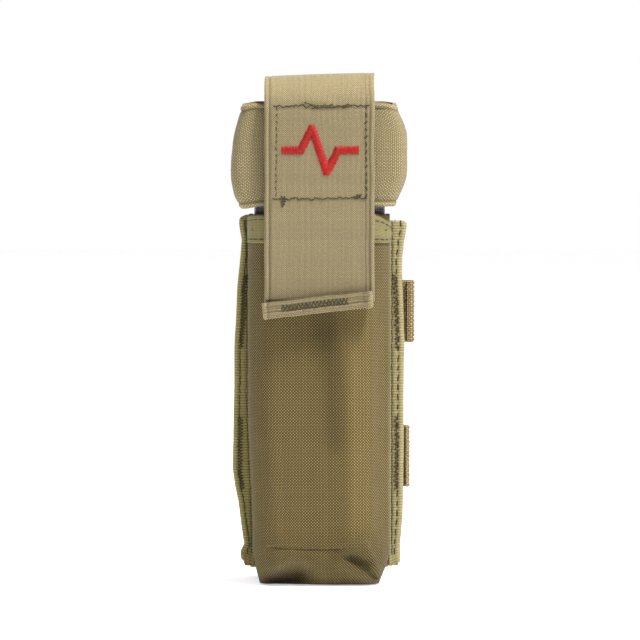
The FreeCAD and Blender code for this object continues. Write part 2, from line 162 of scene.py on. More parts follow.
def plain_weave():
    """A node group: threads over and under each other, from a place on the cloth and the two thread pitches."""
    group = bpy.data.node_groups.new("plain_weave", "ShaderNodeTree")
    for label in ("Place", "Pitch"):
        group.interface.new_socket(label, in_out="INPUT", socket_type="NodeSocketVector")
    group.interface.new_socket("Wander", in_out="INPUT", socket_type="NodeSocketFloat")
    for label in ("Height", "Warp", "Thread"):
        group.interface.new_socket(label, in_out="OUTPUT", socket_type="NodeSocketFloat")
    given = put(group, "NodeGroupInput").outputs
    # Threads wander a little, over about 12 mm
    drift = put(group, "ShaderNodeTexNoise", {"Vector": given["Place"], "Scale": 80.0, "Detail": 1.0})
    centred = put(group, "ShaderNodeVectorMath", {0: drift.outputs["Color"], 1: (0.5, 0.5, 0.5)}, operation="SUBTRACT")
    shifted = put(group, "ShaderNodeVectorMath", {0: centred.outputs[0], "Scale": given["Wander"]}, operation="SCALE")
    place = put(group, "ShaderNodeVectorMath", {0: given["Place"], 1: shifted.outputs[0]}, operation="ADD")
    counted = put(group, "ShaderNodeVectorMath", {0: place.outputs[0], 1: given["Pitch"]}, operation="DIVIDE")
    within = put(group, "ShaderNodeVectorMath", {0: counted.outputs[0]}, operation="FRACTION")
    turned = put(group, "ShaderNodeVectorMath", {0: within.outputs[0], "Scale": math.pi}, operation="SCALE")
    humps = put(group, "ShaderNodeVectorMath", {0: turned.outputs[0]}, operation="SINE")
    hump = put(group, "ShaderNodeSeparateXYZ", {0: humps.outputs[0]})
    numbers = put(group, "ShaderNodeVectorMath", {0: counted.outputs[0]}, operation="FLOOR")
    number = put(group, "ShaderNodeSeparateXYZ", {0: numbers.outputs[0]})
    heights = []
    for over, along in (("X", "Y"), ("Y", "X")):
        body = put(group, "ShaderNodeMath", {0: hump.outputs[over], 1: 0.6}, operation="POWER")
        arch = put(group, "ShaderNodeMath", {0: hump.outputs[along], 1: 0.55, 2: 0.45}, operation="MULTIPLY_ADD")
        heights.append(put(group, "ShaderNodeMath", {0: body.outputs[0], 1: arch.outputs[0]}, operation="MULTIPLY"))
    summed = put(group, "ShaderNodeMath", {0: number.outputs["X"], 1: number.outputs["Y"]}, operation="ADD")
    odd = put(group, "ShaderNodeMath", {0: summed.outputs[0], 1: 2.0}, operation="FLOORED_MODULO")
    warp = put(group, "ShaderNodeMath", {0: odd.outputs[0], 1: 0.5}, operation="LESS_THAN")
    height = put(group, "ShaderNodeMix", {"Factor": warp.outputs[0], 2: heights[1].outputs[0], 3: heights[0].outputs[0]})
    far = put(group, "ShaderNodeMath", {0: number.outputs["Y"], 1: 4000.0}, operation="ADD")
    which = put(group, "ShaderNodeMix", {"Factor": warp.outputs[0], 2: far.outputs[0], 3: number.outputs["X"]})
    chance = put(group, "ShaderNodeTexWhiteNoise", {"W": which.outputs[0]}, noise_dimensions="1D")
    put(group, "NodeGroupOutput", {
        "Height": height.outputs[0], "Warp": warp.outputs[0], "Thread": chance.outputs["Value"]})
    return group


weave_group = plain_weave()


def woven(name, gap, thread, crown, pitch, relief, wander=0.15, rough=0.85, sheen=0.06, cover=None, mottle=0.12, speck=0.3):
    """A woven finish. Gap, thread and crown are its colours from the holes up; the dark gap colour is painted shade and
    the bright crown colour a painted highlight. Pitch is the two thread spacings and relief the threads' height, in
    millimetres. Cover is the colour of the warp if it differs."""
    material, tree, shader = finish_of(name)
    place = put(tree, "ShaderNodeUVMap", uv_map="cut")
    knit = put(tree, "ShaderNodeGroup", {
        "Place": place.outputs["UV"],
        "Pitch": (pitch[0] * mm, pitch[1] * mm, 1.0),
        "Wander": wander * pitch[0] * mm * 4}, node_tree=weave_group)
    # The ramp paints shade into the gaps and a highlight onto the thread crowns
    ramp = put(tree, "ShaderNodeValToRGB", {"Fac": knit.outputs["Height"]})
    stops = ramp.color_ramp.elements
    stops[0].position, stops[0].color = 0.12, srgb(gap)
    stops[1].position, stops[1].color = 0.92, srgb(crown)
    stops.new(0.55).color = srgb(thread)
    colour = ramp.outputs["Color"]
    if cover:
        lower = put(tree, "ShaderNodeMix", {6: srgb(cover), 7: (1, 1, 1, 1)}, data_type="RGBA")
        tree.links.new(knit.outputs["Warp"], lower.inputs["Factor"])
        tint = put(tree, "ShaderNodeMix", {"Factor": 1.0, 6: colour, 7: lower.outputs[2]}, data_type="RGBA", blend_type="MULTIPLY")
        colour = tint.outputs[2]
    # Dye takes a little differently in each thread, and handling fades the cloth in soft patches
    object_place = put(tree, "ShaderNodeTexCoord")
    patches = put(tree, "ShaderNodeTexNoise", {
        "Vector": object_place.outputs["Object"], "Scale": 75.0, "Detail": 4.0, "Roughness": 0.6})
    threads = put(tree, "ShaderNodeMath", {0: knit.outputs["Thread"], 1: 0.16, 2: 0.92 - mottle / 2}, operation="MULTIPLY_ADD")
    faded = put(tree, "ShaderNodeMath", {0: patches.outputs["Fac"], 1: mottle, 2: threads.outputs[0]}, operation="MULTIPLY_ADD")
    # No two floats catch the light alike: a grain about as wide as one thread
    grains = put(tree, "ShaderNodeTexNoise", {"Vector": place.outputs["UV"], "Scale": 1500.0, "Detail": 2.0, "Roughness": 0.7})
    uneven = put(tree, "ShaderNodeMath", {0: grains.outputs["Fac"], 1: speck * 2, 2: 1.0 - speck}, operation="MULTIPLY_ADD")
    faded = put(tree, "ShaderNodeMath", {0: faded.outputs[0], 1: uneven.outputs[0]}, operation="MULTIPLY")
    # Painted shade darkens folds, grooves and sides turned from the key light, and negative values paint light on lit
    # faces and pale the corded edges, where a mesh carries these values as a point attribute
    painted_light_shade = put(tree, "ShaderNodeAttribute", attribute_name="painted_light_shade")
    painted_shade_factor = put(tree, "ShaderNodeMath", {0: 1.0, 1: painted_light_shade.outputs["Fac"]}, operation="SUBTRACT")
    value = put(tree, "ShaderNodeMath", {0: faded.outputs[0], 1: painted_shade_factor.outputs[0]}, operation="MULTIPLY")
    dyed = put(tree, "ShaderNodeHueSaturation", {"Color": colour, "Value": value.outputs[0]})
    tree.links.new(dyed.outputs["Color"], shader.inputs["Base Color"])
    # Fibre fuzz and thread height as relief
    fuzz = put(tree, "ShaderNodeTexNoise", {"Vector": place.outputs["UV"], "Scale": 5200.0, "Detail": 2.0})
    total = put(tree, "ShaderNodeMath", {0: fuzz.outputs["Fac"], 1: 0.18, 2: knit.outputs["Height"]}, operation="MULTIPLY_ADD")
    bump = put(tree, "ShaderNodeBump", {"Height": total.outputs[0], "Strength": 0.75, "Distance": relief * mm})
    tree.links.new(bump.outputs["Normal"], shader.inputs["Normal"])
    matt = put(tree, "ShaderNodeMath", {0: knit.outputs["Height"], 1: -0.12, 2: rough + 0.06}, operation="MULTIPLY_ADD")
    tree.links.new(matt.outputs[0], shader.inputs["Roughness"])
    shader.inputs["Specular IOR Level"].default_value = 0.2
    shader.inputs["Sheen Weight"].default_value = sheen
    shader.inputs["Sheen Roughness"].default_value = 0.45
    return material


def skin(name, rows, across, finish, loop=False, turned=False, painted_light_shade=None):
    """One closed mesh through rows of closed outlines. Each outline is one face's points, then the other
    face's points coming back. The UV map "cut" is in metres on the flat cloth: across the outline, along the
    rows. The last argument gives the painted shade at a place (in millimetres), negative for painted light, from its
    row and its number in the outline."""
    count, width = len(rows), len(rows[0])
    along = [0.0]
    steps = list(zip(rows, rows[1:])) + ([(rows[-1], rows[0])] if loop else [])
    for one, two in steps:
        along.append(along[-1] + sum((b - a).length for a, b in zip(one, two)) / width)
    faces, cut = [], []
    for i in range(len(steps)):
        k = (i + 1) % count
        for j in range(width):
            n = (j + 1) % width
            faces.append((i * width + j, i * width + n, k * width + n, k * width + j))
            cut.append(((across[j], along[i]), (across[n], along[i]), (across[n], along[i + 1]), (across[j], along[i + 1])))
    if not loop:
        for i, turn in ((0, 1), (count - 1, -1)):
            for j in range(width // 2 - 1):
                ends = [j, j + 1, width - 2 - j, width - 1 - j][::-turn]
                faces.append(tuple(i * width + e for e in ends))
                cut.append(tuple((across[e], along[i]) for e in ends))
    mesh = bpy.data.meshes.new(name)
    mesh.from_pydata([tuple(p) for row in rows for p in row], [], faces)
    layer = mesh.uv_layers.new(name="cut")
    flat = [uv for face in cut for uv in face]
    for spot, (u, v) in zip(layer.data, flat):
        spot.uv = (v, u) if turned else (u, v)
    shell = bmesh.new()
    shell.from_mesh(mesh)
    if shell.calc_volume(signed=True) < 0:
        bmesh.ops.reverse_faces(shell, faces=shell.faces)
    shell.to_mesh(mesh)
    shell.free()
    mesh.polygons.foreach_set("use_smooth", [True] * len(mesh.polygons))
    mesh.materials.append(finish)
    if painted_light_shade:
        dark = mesh.attributes.new("painted_light_shade", "FLOAT", "POINT")
        dark.data.foreach_set("value", [painted_light_shade(p / mm, j) for row in rows for j, p in enumerate(row)])
    made = bpy.data.objects.new(name, mesh)
    scene.collection.objects.link(made)
    return made


def u_line(half, front, back, radius, count):
    """Points round three sides of the box, from the left seam past the front to the right seam:
    place, outward direction, and distance along the cloth."""
    side, arc, face = back - front - radius, radius * math.pi / 2, 2 * (half - radius)
    whole = 2 * side + 2 * arc + face
    line = []
    for i in range(count):
        d = whole * i / (count - 1)
        if d <= side:
            line.append((-half, back - d, -1.0, 0.0, d))
        elif d <= side + arc:
            a = (d - side) / radius
            line.append((-half + radius - radius * math.cos(a), front + radius - radius * math.sin(a), -math.cos(a), -math.sin(a), d))
        elif d <= side + arc + face:
            line.append((-half + radius + d - side - arc, front, 0.0, -1.0, d))
        elif d <= side + 2 * arc + face:
            a = (d - side - arc - face) / radius
            line.append((half - radius + radius * math.sin(a), front + radius - radius * math.cos(a), math.sin(a), -math.cos(a), d))
        else:
            line.append((half, front + d - side - 2 * arc - face + radius, 1.0, 0.0, d))
    return line


def mix(a, b, t):
    return a + (b - a) * t


def ease(low, high, value):
    t = min(max((value - low) / (high - low), 0.0), 1.0)
    return t * t * (3 - 2 * t)


def shape(value, *knots):
    """A size that runs straight between knots of (place, size)."""
    for (a, one), (b, two) in zip(knots, knots[1:]):
        if value <= b:
            return mix(one, two, max(value - a, 0.0) / (b - a))
    return knots[-1][1]


def crest(x, z, start, end, width):
    """1 on the segment from start to end, falling away over width."""
    (x0, z0), (x1, z1) = start, end
    t = min(max(((x - x0) * (x1 - x0) + (z - z0) * (z1 - z0)) / ((x1 - x0) ** 2 + (z1 - z0) ** 2), 0.0), 1.0)
    gap = math.hypot(x - mix(x0, x1, t), z - mix(z0, z1, t))
    return math.exp(-(gap / width) ** 2)


box_low, box_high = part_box("front_panel")
box_half = box_high.x / mm
box_front, box_back = box_low.y / mm, box_high.y / mm
mouth_z = box_high.z / mm
skirt_z, foot_half, foot_front = 13.0, 21.0, -14.5
cloth_wall = 1.2


def box_fold(x, z):
    """How far the front stands out at a place: a soft ridge right of the middle, and the tucks at the foot."""
    ridge = 8.6 + 1.2 * math.sin(z * 0.035)
    bend = math.sqrt((x - ridge) ** 2 + 5.0)
    out = 0.95 - (0.055 if x < ridge else 0.20) * bend
    out += 1.0 * math.exp(-((x - ridge - 0.8) / 2.8) ** 2)
    out -= 1.1 * crest(x, z, (0.8, 112.0), (3.2, 50.0), 4.2)
    out *= ease(5.0, 24.0, z) * mix(1.0, 0.35, ease(92.0, 124.0, z))
    crease_z = 13.4 + 0.9 * ((x + 3.0) / 15.0) ** 2
    if -18.5 < x < 14.0:
        fade = ease(-18.5, -15.0, x) * ease(14.0, 10.0, x)
        out += fade * (0.36 * math.exp(-((z - crease_z - 0.6) / 0.5) ** 2) - 0.55 * math.exp(-((z - crease_z + 0.35) / 0.4) ** 2))
    out += 1.3 * crest(x, z, (-20.5, 0.5), (-10.0, 12.0), 2.0)
    out += 0.9 * crest(x, z, (9.0, 12.8), (15.5, 15.0), 1.3)
    out += 1.3 * crest(x, z, (15.8, 15.0), (20.8, 3.0), 1.4)
    out -= 2.0 * crest(x, z, (11.0, 10.4), (16.6, 8.4), 1.8)
    out += 1.3 * crest(x, z, (7.5, 9.0), (18.2, 1.8), 1.8)
    out -= 0.9 * crest(x, z, (17.0, 6.5), (19.6, 3.0), 1.0)
    out -= 3.2 * crest(x, z, (-16.2, 2.2), (-6.0, 4.4), 3.6)
    out += 0.9 * crest(x, z, (-3.0, 9.5), (5.5, 2.5), 2.8)
    out -= 0.8 * crest(x, z, (-20.5, 9.0), (-15.5, 14.0), 2.2)
    out += 0.45 * noise.noise(Vector((x * 0.085, z * 0.035, 1.7)))
    out += 0.16 * noise.noise(Vector((x * 0.3, z * 0.16, 5.2)))
    return out




def box_slim(z):
    """How far the box's left side has drawn in at a height."""
    return 1.5 * ease(62.0, 16.0, z)


box_count = 121
levels = [mouth_z - 0.02] + [mouth_z - 1.3 * i for i in range(1, 90)]
levels = [z for z in levels if z > skirt_z + 4] + [skirt_z + 4 - 0.45 * i for i in range(38)]
levels = [z for z in levels if z > 0.35]
rows = []
for z in levels:
    t = ease(0.0, 1.0, (skirt_z - z) / skirt_z) if z < skirt_z else 0.0
    t = mix(t, max(0.0, (skirt_z - z) / skirt_z), 0.6) ** 1.5
    outer, inner = [], []
    slim = box_slim(z) * (1 - t)
    for x, y, nx, ny, d in u_line(mix(box_half, foot_half, t), mix(box_front, foot_front, t), box_back, mix(10.0, 7.0, t), box_count):
        x += slim * ease(-5.0, -20.0, x)
        facing = ease(0.15, 0.8, -ny)
        out = box_fold(x, z) * facing + 0.25 * noise.noise(Vector((x * 0.1, z * 0.05, y * 0.1))) * (1 - facing)
        out *= min(1.0, d / 6 + 0.05, 10.0)
        seam = min(1.0, (box_back - y) / 3)
        out = min(out * seam, 1.5)
        lift = 0.0
        outer.append(Vector((x + nx * out, y + ny * out, z + lift)) * mm)
        inner.append(Vector((x + nx * (out - cloth_wall), y + ny * (out - cloth_wall), z + lift)) * mm)
    rows.append(outer + inner[::-1])
# The foot is tucked under and runs back to the seam below the back panel
last = rows[-1]
for t, sink in ((0.02, 0.30), (0.06, 0.12), (0.16, 0.03), (0.35, 0.0), (0.6, 0.0), (0.85, 0.02), (0.995, 0.1)):
    outer, inner = [], []
    for j in range(box_count):
        p, q = last[j], last[2 * box_count - 1 - j]
        y = mix(p.y / mm, box_back, t)
        x = p.x / mm * mix(1.0, 0.94, ease(0, 1, t * 4))
        x *= 1 - 0.03 * ease(0, 0.1, t)
        outer.append(Vector((x, y, sink)) * mm)
        iy = min(mix(max(q.y / mm, p.y / mm + 0.6), box_back, t), box_back)
        inner.append(Vector((x * 0.96, iy, sink + cloth_wall * ease(0.0, 0.1, t + 0.02) + 0.25)) * mm)
    rows.append(outer + inner[::-1])
around = [d * mm for x, y, nx, ny, d in u_line(box_half, box_front, box_back, 10.0, box_count)]

# 1000-denier nylon, plain weave, coated inside: threads 0.79 mm apart. Bright crowns, a painted highlight, on dark
# gaps, a painted shade, read as a fine dotted grid that turns with the cloth.
box_cloth = woven("coarse_plain_weave_nylon", "#3e341c", "#655838", "#9b8e5f", (0.52, 0.52), 0.30, cover="#a5966f")


def box_painted_shade_light(p, j):
    """Painted shade in the foot's tucks and dents, in the hollow left of the ridge, on the left side, towards the foot,
    a little towards the mouth behind the flap, and under the pull tab; painted light on the face right of the ridge.
    """
    dark = 0.55 * crest(p.x, p.z, (-16.8, 0.8), (-8.0, 2.6), 3.0) + 0.32 * crest(p.x, p.z, (11.0, 10.2), (16.4, 8.0), 1.6)
    dark += 0.25 * ease(3.0, 0.5, p.z) + 0.2 * crest(p.x, p.z, (1.0, 118.0), (4.6, 50.0), 4.4)
    # The negative term is painted light on the face right of the ridge, which faces the key light
    dark += 0.22 * crest(p.x, p.z, (17.4, 6.0), (19.6, 2.6), 0.9) - 0.26 * crest(p.x, p.z, (14.0, 100.0), (14.5, 24.0), 5.5)
    dark += 0.05 * ease(-12.0, -19.0, p.x) * ease(30.0, 60.0, p.z) + 0.03 * ease(104.0, 124.0, p.z)
    # Painted shade towards the foot, and a painted shadow just below the pull tab
    dark += 0.15 * ease(26.0, 8.0, p.z)
    dark += 0.14 * crest(p.x, p.z, (-6.0, 89.0), (12.0, 90.0), 5.5)
    return dark


front = skin("box_cloth", rows, around + around[::-1], box_cloth, painted_light_shade=box_painted_shade_light)
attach(front, "pouch")
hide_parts("front_panel")

# Back panel: outer cloth and lining of a finer plain weave, with a sheet of black plastic between them that
# stays as it is. Both cloths lie flat and pucker a little where they are sewn.
panel_cloth = woven("fine_plain_weave_nylon", "#2f2614", "#776641", "#a39061", (0.62, 0.62), 0.22, cover="#ece3cf")


def wing(side, z, inset=0.0):
    """How far the back panel's edge stands from the middle at a height; its left foot is cut in more."""
    if side < 0:
        edge = shape(z, (3, 27.0), (5, 28.2), (7.6, 28.3), (11.3, 27.0), (18.7, 28.1), (26.8, 29.2), (31.8, 30.2), (37.8, 31.0),
                     (52.7, 31.0), (63, 30.7), (85, 30.4), (104, 29.4), (112, 28.6), (120.5, 27.9), (126, 28.8), (131, 28.8))
        crown, corner = 129.6, 2.4
    else:
        edge = shape(z, (3, 29.1), (11, 29.1), (22, 30.0), (31.7, 30.2), (64, 30.2), (84, 30.5), (98, 30.0), (107, 29.6),
                     (113, 29.6), (120.5, 30.3), (125.4, 31.2), (127, 31.0))
        crown, corner = 127.4, 0.8
    high = crown - corner
    if z > high:
        edge -= corner - math.sqrt(max(corner ** 2 - (z - high) ** 2, 0.0)) + 9.0 * max(z - crown, 0.0)
    edge += 0.22 * noise.noise(Vector((side * 3.1, z * 0.06, 0.4)))
    return edge - inset


def panel_sheet(name, depth, node, finish):
    """A flat cloth over the whole panel, between two depths."""
    rows = []
    low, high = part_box(node)
    for i in range(64):
        z = mix(low.z / mm, high.z / mm, i / 63)
        xs = [mix(-wing(-1, z, 0.9), wing(1, z, 0.9), j / 40) for j in range(41)]
        wave = [0.09 * noise.noise(Vector((x * 0.12, z * 0.09, depth[0]))) for x in xs]
        faced = [Vector((x, depth[0] + w, z)) * mm for x, w in zip(xs, wave)]
        backed = [Vector((x, depth[1] + w, z)) * mm for x, w in zip(xs, wave)]
        rows.append(faced + backed[::-1])
    width = [mix(-0.03, 0.03, j / 40) for j in range(41)]
    sheet = skin(name, rows, width + width[::-1], finish)
    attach(sheet, "pouch")
    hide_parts(node)


for name, node in (("panel_lining", "back_liner"), ("panel_cloth", "back_panel")):
    low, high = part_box(node)
    panel_sheet(name, (low.y / mm + 0.1, high.y / mm - 0.1), node, panel_cloth)

# Polyethylene sheet: pressed, matt, with a fine leather grain that scatters its highlight
sheet_plastic, tree, shader = finish_of("pressed_polyethylene_sheet")
where = put(tree, "ShaderNodeTexCoord")
pebbles = put(tree, "ShaderNodeTexVoronoi", {"Vector": where.outputs["Object"], "Scale": 1400.0})
relief = put(tree, "ShaderNodeBump", {"Height": pebbles.outputs["Distance"], "Strength": 0.4, "Distance": 0.0001})
worn = put(tree, "ShaderNodeTexNoise", {"Vector": where.outputs["Object"], "Scale": 60.0, "Detail": 3.0})
black = put(tree, "ShaderNodeMix", {"Factor": worn.outputs["Fac"], 6: srgb("#15161a"), 7: srgb("#2a2b2e")}, data_type="RGBA")
dull = put(tree, "ShaderNodeMath", {0: worn.outputs["Fac"], 1: 0.2, 2: 0.5}, operation="MULTIPLY_ADD")
for node_made, key, socket in ((black, 2, "Base Color"), (dull, 0, "Roughness"), (relief, "Normal", "Normal")):
    tree.links.new(node_made.outputs[key], shader.inputs[socket])
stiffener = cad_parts["back_stiffener"]
stiffener.data.materials.clear()
stiffener.data.materials.append(sheet_plastic)

# Binding tape: ribbed grosgrain folded over the panel's edges, down each wing and under the box, sewn with
# one line near the fold and one along the box's seam. The lines pull the tape down and its edge waves.
# Grosgrain: fat weft ribs across the tape 0.99 mm apart under fine warp. Light catches each rib's top.
# The left copy is darker: a painted shade for the side turned from the key light
tape_left = woven("ribbed_grosgrain_shaded", "#5f5932", "#8b814f", "#a89e6a", (0.19, 0.99), 0.20, wander=0.5)
tape_right = woven("ribbed_grosgrain", "#6a6441", "#988f64", "#b6ac83", (0.19, 0.99), 0.20, wander=0.5)

tape_low, tape_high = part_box("side_tape_right")
tape_front, tape_back = tape_low.y / mm, tape_high.y / mm
seam_x = box_half
side_end = {-1: 4.6, 1: 3.2}
for side, node, finish in ((-1, "side_tape_left", tape_left), (1, "side_tape_right", tape_right)):
    rows = []
    for i in range(150):
        t = i / 149
        z = mix(127.4 if side > 0 else tape_high.z / mm, side_end[side], t)
        edge = wing(side, z)
        outer, inner, across = [], [], []
        reach = edge - seam_x
        lap = seam_x + 0.25 - (box_slim(z) if side < 0 else 0.0)
        ripple = 0.16 * noise.noise(Vector((side * 9.0, z * 0.22, 3.3)))
        path = []
        count = 17
        for j in range(count):
            x = mix(lap, edge - 1.9, j / (count - 1))
            dip = 0.30 * math.exp(-((x - edge + 2.1) / 0.5) ** 2) + 0.24 * math.exp(-((x - lap - 0.9) / 0.45) ** 2)
            path.append((x, tape_front + dip + ripple * 0.6 * math.sin(math.pi * j / (count - 1)), 0.0, -1.0))
        for j in range(1, 12):
            a = math.pi * j / 12
            path.append((edge - 1.9 + 1.9 * math.sin(a), mix(tape_front, tape_back, (1 - math.cos(a)) / 2), math.sin(a), -math.cos(a)))
        for j in range(count):
            x = mix(edge - 1.9, lap, j / (count - 1))
            path.append((x, tape_back, 0.0, 1.0))
        run = 0.0
        for j, (x, y, nx, ny) in enumerate(path):
            if j:
                run += math.hypot(x - path[j - 1][0], y - path[j - 1][1])
            across.append(run * mm)
            # The foot of the tape is cut aslant, up towards its outer edge
            slant = 0.42 * (x - seam_x) * ease(16.0, 4.0, z) if z < 16 else 0.0
            outer.append(Vector((side * x, y, z + slant)) * mm)
            inner.append(Vector((side * (x - nx * 0.6), y - ny * 0.6, z + slant)) * mm)
        rows.append(outer + inner[::-1])
    tape = skin("binding_" + ("left" if side < 0 else "right"), rows, across + across[::-1], finish)
    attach(tape, "pouch")
    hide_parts(node)

low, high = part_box("bottom_tape")
rows = []
for i in range(45):
    x = mix(low.x / mm, high.x / mm, i / 44)
    sag = 0.35 * noise.noise(Vector((x * 0.12, 2.0, 7.0))) + 0.3 * math.exp(-((x + 1) / 4) ** 2)
    outer, inner = [], []
    path = [(tape_front + 1.0, z, -1.0, 0.0) for z in (7.4, 6.0, 4.6)]
    path += [(mix(tape_front + 1.0, tape_back, (1 - math.cos(math.pi * j / 8)) / 2), 4.2 - 1.2 * math.sin(math.pi * j / 8),
              -math.cos(math.pi * j / 8), -math.sin(math.pi * j / 8)) for j in range(1, 8)]
    path += [(tape_back, z, 1.0, 0.0) for z in (4.6, 6.0, 7.4)]
    for y, z, ny, nz in path:
        outer.append(Vector((x, y, z - sag * 0.5)) * mm)
        inner.append(Vector((x, y - ny * 0.5, z - sag * 0.5 - nz * 0.5)) * mm)
    rows.append(outer + inner[::-1])
run = [0.0009 * j for j in range(len(path))]
# The bottom tape takes the darker copy: a painted shade for its downward face
tape = skin("binding_bottom", rows, run + run[::-1], tape_left)
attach(tape, "pouch")
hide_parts("bottom_tape")

# Sewing: bonded nylon thread. Each stitch is a short arched length of thread that dips into the cloth at
# both ends, and a zigzag or a satin row is the same stitch turned across its line.


def stitch_rows():
    """A Geometry Nodes tree that lays one arched stitch every pitch along each line."""
    tree = bpy.data.node_groups.new("stitch_rows", "GeometryNodeTree")
    tree.is_modifier = True
    face = tree.interface
    face.new_socket("Lines", in_out="INPUT", socket_type="NodeSocketGeometry")
    for label in ("Pitch", "Length", "Thread", "Rise", "Turn", "Scatter"):
        face.new_socket(label, in_out="INPUT", socket_type="NodeSocketFloat")
    face.new_socket("Seed", in_out="INPUT", socket_type="NodeSocketInt")
    face.new_socket("Finish", in_out="INPUT", socket_type="NodeSocketMaterial")
    face.new_socket("Stitches", in_out="OUTPUT", socket_type="NodeSocketGeometry")
    given = put(tree, "NodeGroupInput").outputs
    line = put(tree, "GeometryNodeMeshToCurve", {"Mesh": given["Lines"]})
    spaced = put(tree, "GeometryNodeResampleCurve", {"Curve": line.outputs[0], "Length": given["Pitch"]}, mode="LENGTH")
    half = put(tree, "ShaderNodeMath", {0: given["Length"], 1: 0.5}, operation="MULTIPLY")
    back = put(tree, "ShaderNodeMath", {0: given["Length"], 1: -0.5}, operation="MULTIPLY")
    sink = put(tree, "ShaderNodeMath", {0: given["Thread"], 1: -0.45}, operation="MULTIPLY")
    start = put(tree, "ShaderNodeCombineXYZ", {"X": back.outputs[0], "Z": sink.outputs[0]})
    end = put(tree, "ShaderNodeCombineXYZ", {"X": half.outputs[0], "Z": sink.outputs[0]})
    top = put(tree, "ShaderNodeCombineXYZ", {"Z": given["Rise"]})
    arch = put(tree, "GeometryNodeCurveQuadraticBezier", {
        "Resolution": 5, "Start": start.outputs[0], "Middle": top.outputs[0], "End": end.outputs[0]})
    radius = put(tree, "ShaderNodeMath", {0: given["Thread"], 1: 0.5}, operation="MULTIPLY")
    ring = put(tree, "GeometryNodeCurvePrimitiveCircle", {"Resolution": 6, "Radius": radius.outputs[0]})
    thread = put(tree, "GeometryNodeCurveToMesh", {
        "Curve": arch.outputs[0], "Profile Curve": ring.outputs[0], "Fill Caps": True})
    tangent = put(tree, "GeometryNodeInputTangent")
    up = put(tree, "GeometryNodeInputNamedAttribute", {"Name": "face_up"}, data_type="FLOAT_VECTOR")
    along = put(tree, "FunctionNodeAlignRotationToVector", {"Vector": tangent.outputs[0]}, axis="X")
    upright = put(tree, "FunctionNodeAlignRotationToVector", {
        "Rotation": along.outputs[0], "Vector": up.outputs[0]}, axis="Z", pivot_axis="X")
    number = put(tree, "GeometryNodeInputIndex")
    odd = put(tree, "ShaderNodeMath", {0: number.outputs[0], 1: 2.0}, operation="MODULO")
    sign = put(tree, "ShaderNodeMath", {0: odd.outputs[0], 1: 2.0, 2: -1.0}, operation="MULTIPLY_ADD")
    turn = put(tree, "ShaderNodeMath", {0: sign.outputs[0], 1: given["Turn"]}, operation="MULTIPLY")
    least = put(tree, "ShaderNodeMath", {0: given["Scatter"], 1: -1.0}, operation="MULTIPLY")
    chance = put(tree, "FunctionNodeRandomValue", {2: least.outputs[0], 3: given["Scatter"], "Seed": given["Seed"]}, data_type="FLOAT")
    angle = put(tree, "ShaderNodeMath", {0: turn.outputs[0], 1: chance.outputs[1]}, operation="ADD")
    spin = put(tree, "FunctionNodeAxisAngleToRotation", {"Axis": (0, 0, 1), "Angle": angle.outputs[0]})
    turned = put(tree, "FunctionNodeRotateRotation", {
        "Rotation": upright.outputs[0], "Rotate By": spin.outputs[0]}, rotation_space="LOCAL")
    other = put(tree, "ShaderNodeMath", {0: given["Seed"], 1: 17.0}, operation="ADD")
    stretch = put(tree, "FunctionNodeRandomValue", {0: (0.82, 0.9, 0.85), 1: (1.12, 1.1, 1.2), "Seed": other.outputs[0]}, data_type="FLOAT_VECTOR")
    placed = put(tree, "GeometryNodeInstanceOnPoints", {
        "Points": spaced.outputs[0], "Instance": thread.outputs[0], "Rotation": turned.outputs[0], "Scale": stretch.outputs[0]})
    real = put(tree, "GeometryNodeRealizeInstances", {"Geometry": placed.outputs[0]})
    smooth = put(tree, "GeometryNodeSetShadeSmooth", {"Geometry": real.outputs[0]})
    painted = put(tree, "GeometryNodeSetMaterial", {"Geometry": smooth.outputs[0], "Material": given["Finish"]})
    put(tree, "NodeGroupOutput", {0: painted.outputs[0]})
    return tree


stitch_tree = stitch_rows()


def grown(name, mesh, tree, **sizes):
    """The plain mesh that a Geometry Nodes tree makes from a mesh, with the tree's named inputs set."""
    source = bpy.data.objects.new(name + "_source", mesh)
    scene.collection.objects.link(source)
    modifier = source.modifiers.new("grow", "NODES")
    modifier.node_group = tree
    for item in tree.interface.items_tree:
        if item.in_out == "INPUT" and item.name in sizes:
            modifier[item.identifier] = sizes[item.name]
    result = source.evaluated_get(bpy.context.evaluated_depsgraph_get())
    plain = bpy.data.meshes.new_from_object(result)
    source.modifiers.clear()
    bpy.data.objects.remove(source)
    plain.name = name
    made = bpy.data.objects.new(name, plain)
    scene.collection.objects.link(made)
    return made


def sew(name, lines, finish, body, pitch, length, thread, rise=0.35, turn=0.0, scatter=6.0, seed=1, stands_for=()):
    """Stitches along lines of (place, outward direction) in millimetres, as one piece on a body."""
    mesh = bpy.data.meshes.new(name + "_lines")
    points, edges, up = [], [], []
    for line in lines:
        for i, (place, out) in enumerate(line):
            if i:
                edges.append((len(points) - 1, len(points)))
            points.append(Vector(place) * mm)
            up.append(out)
    mesh.from_pydata(points, edges, [])
    facing = mesh.attributes.new("face_up", "FLOAT_VECTOR", "POINT")
    facing.data.foreach_set("vector", [c for direction in up for c in direction])
    made = grown(name, mesh, stitch_tree, Pitch=pitch * mm, Length=length * mm, Thread=thread * mm, Rise=rise * mm,
                 Turn=math.radians(turn), Scatter=math.radians(scatter), Seed=seed, Finish=finish)
    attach(made, body)
    if stands_for:
        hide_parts(*stands_for)
    return made


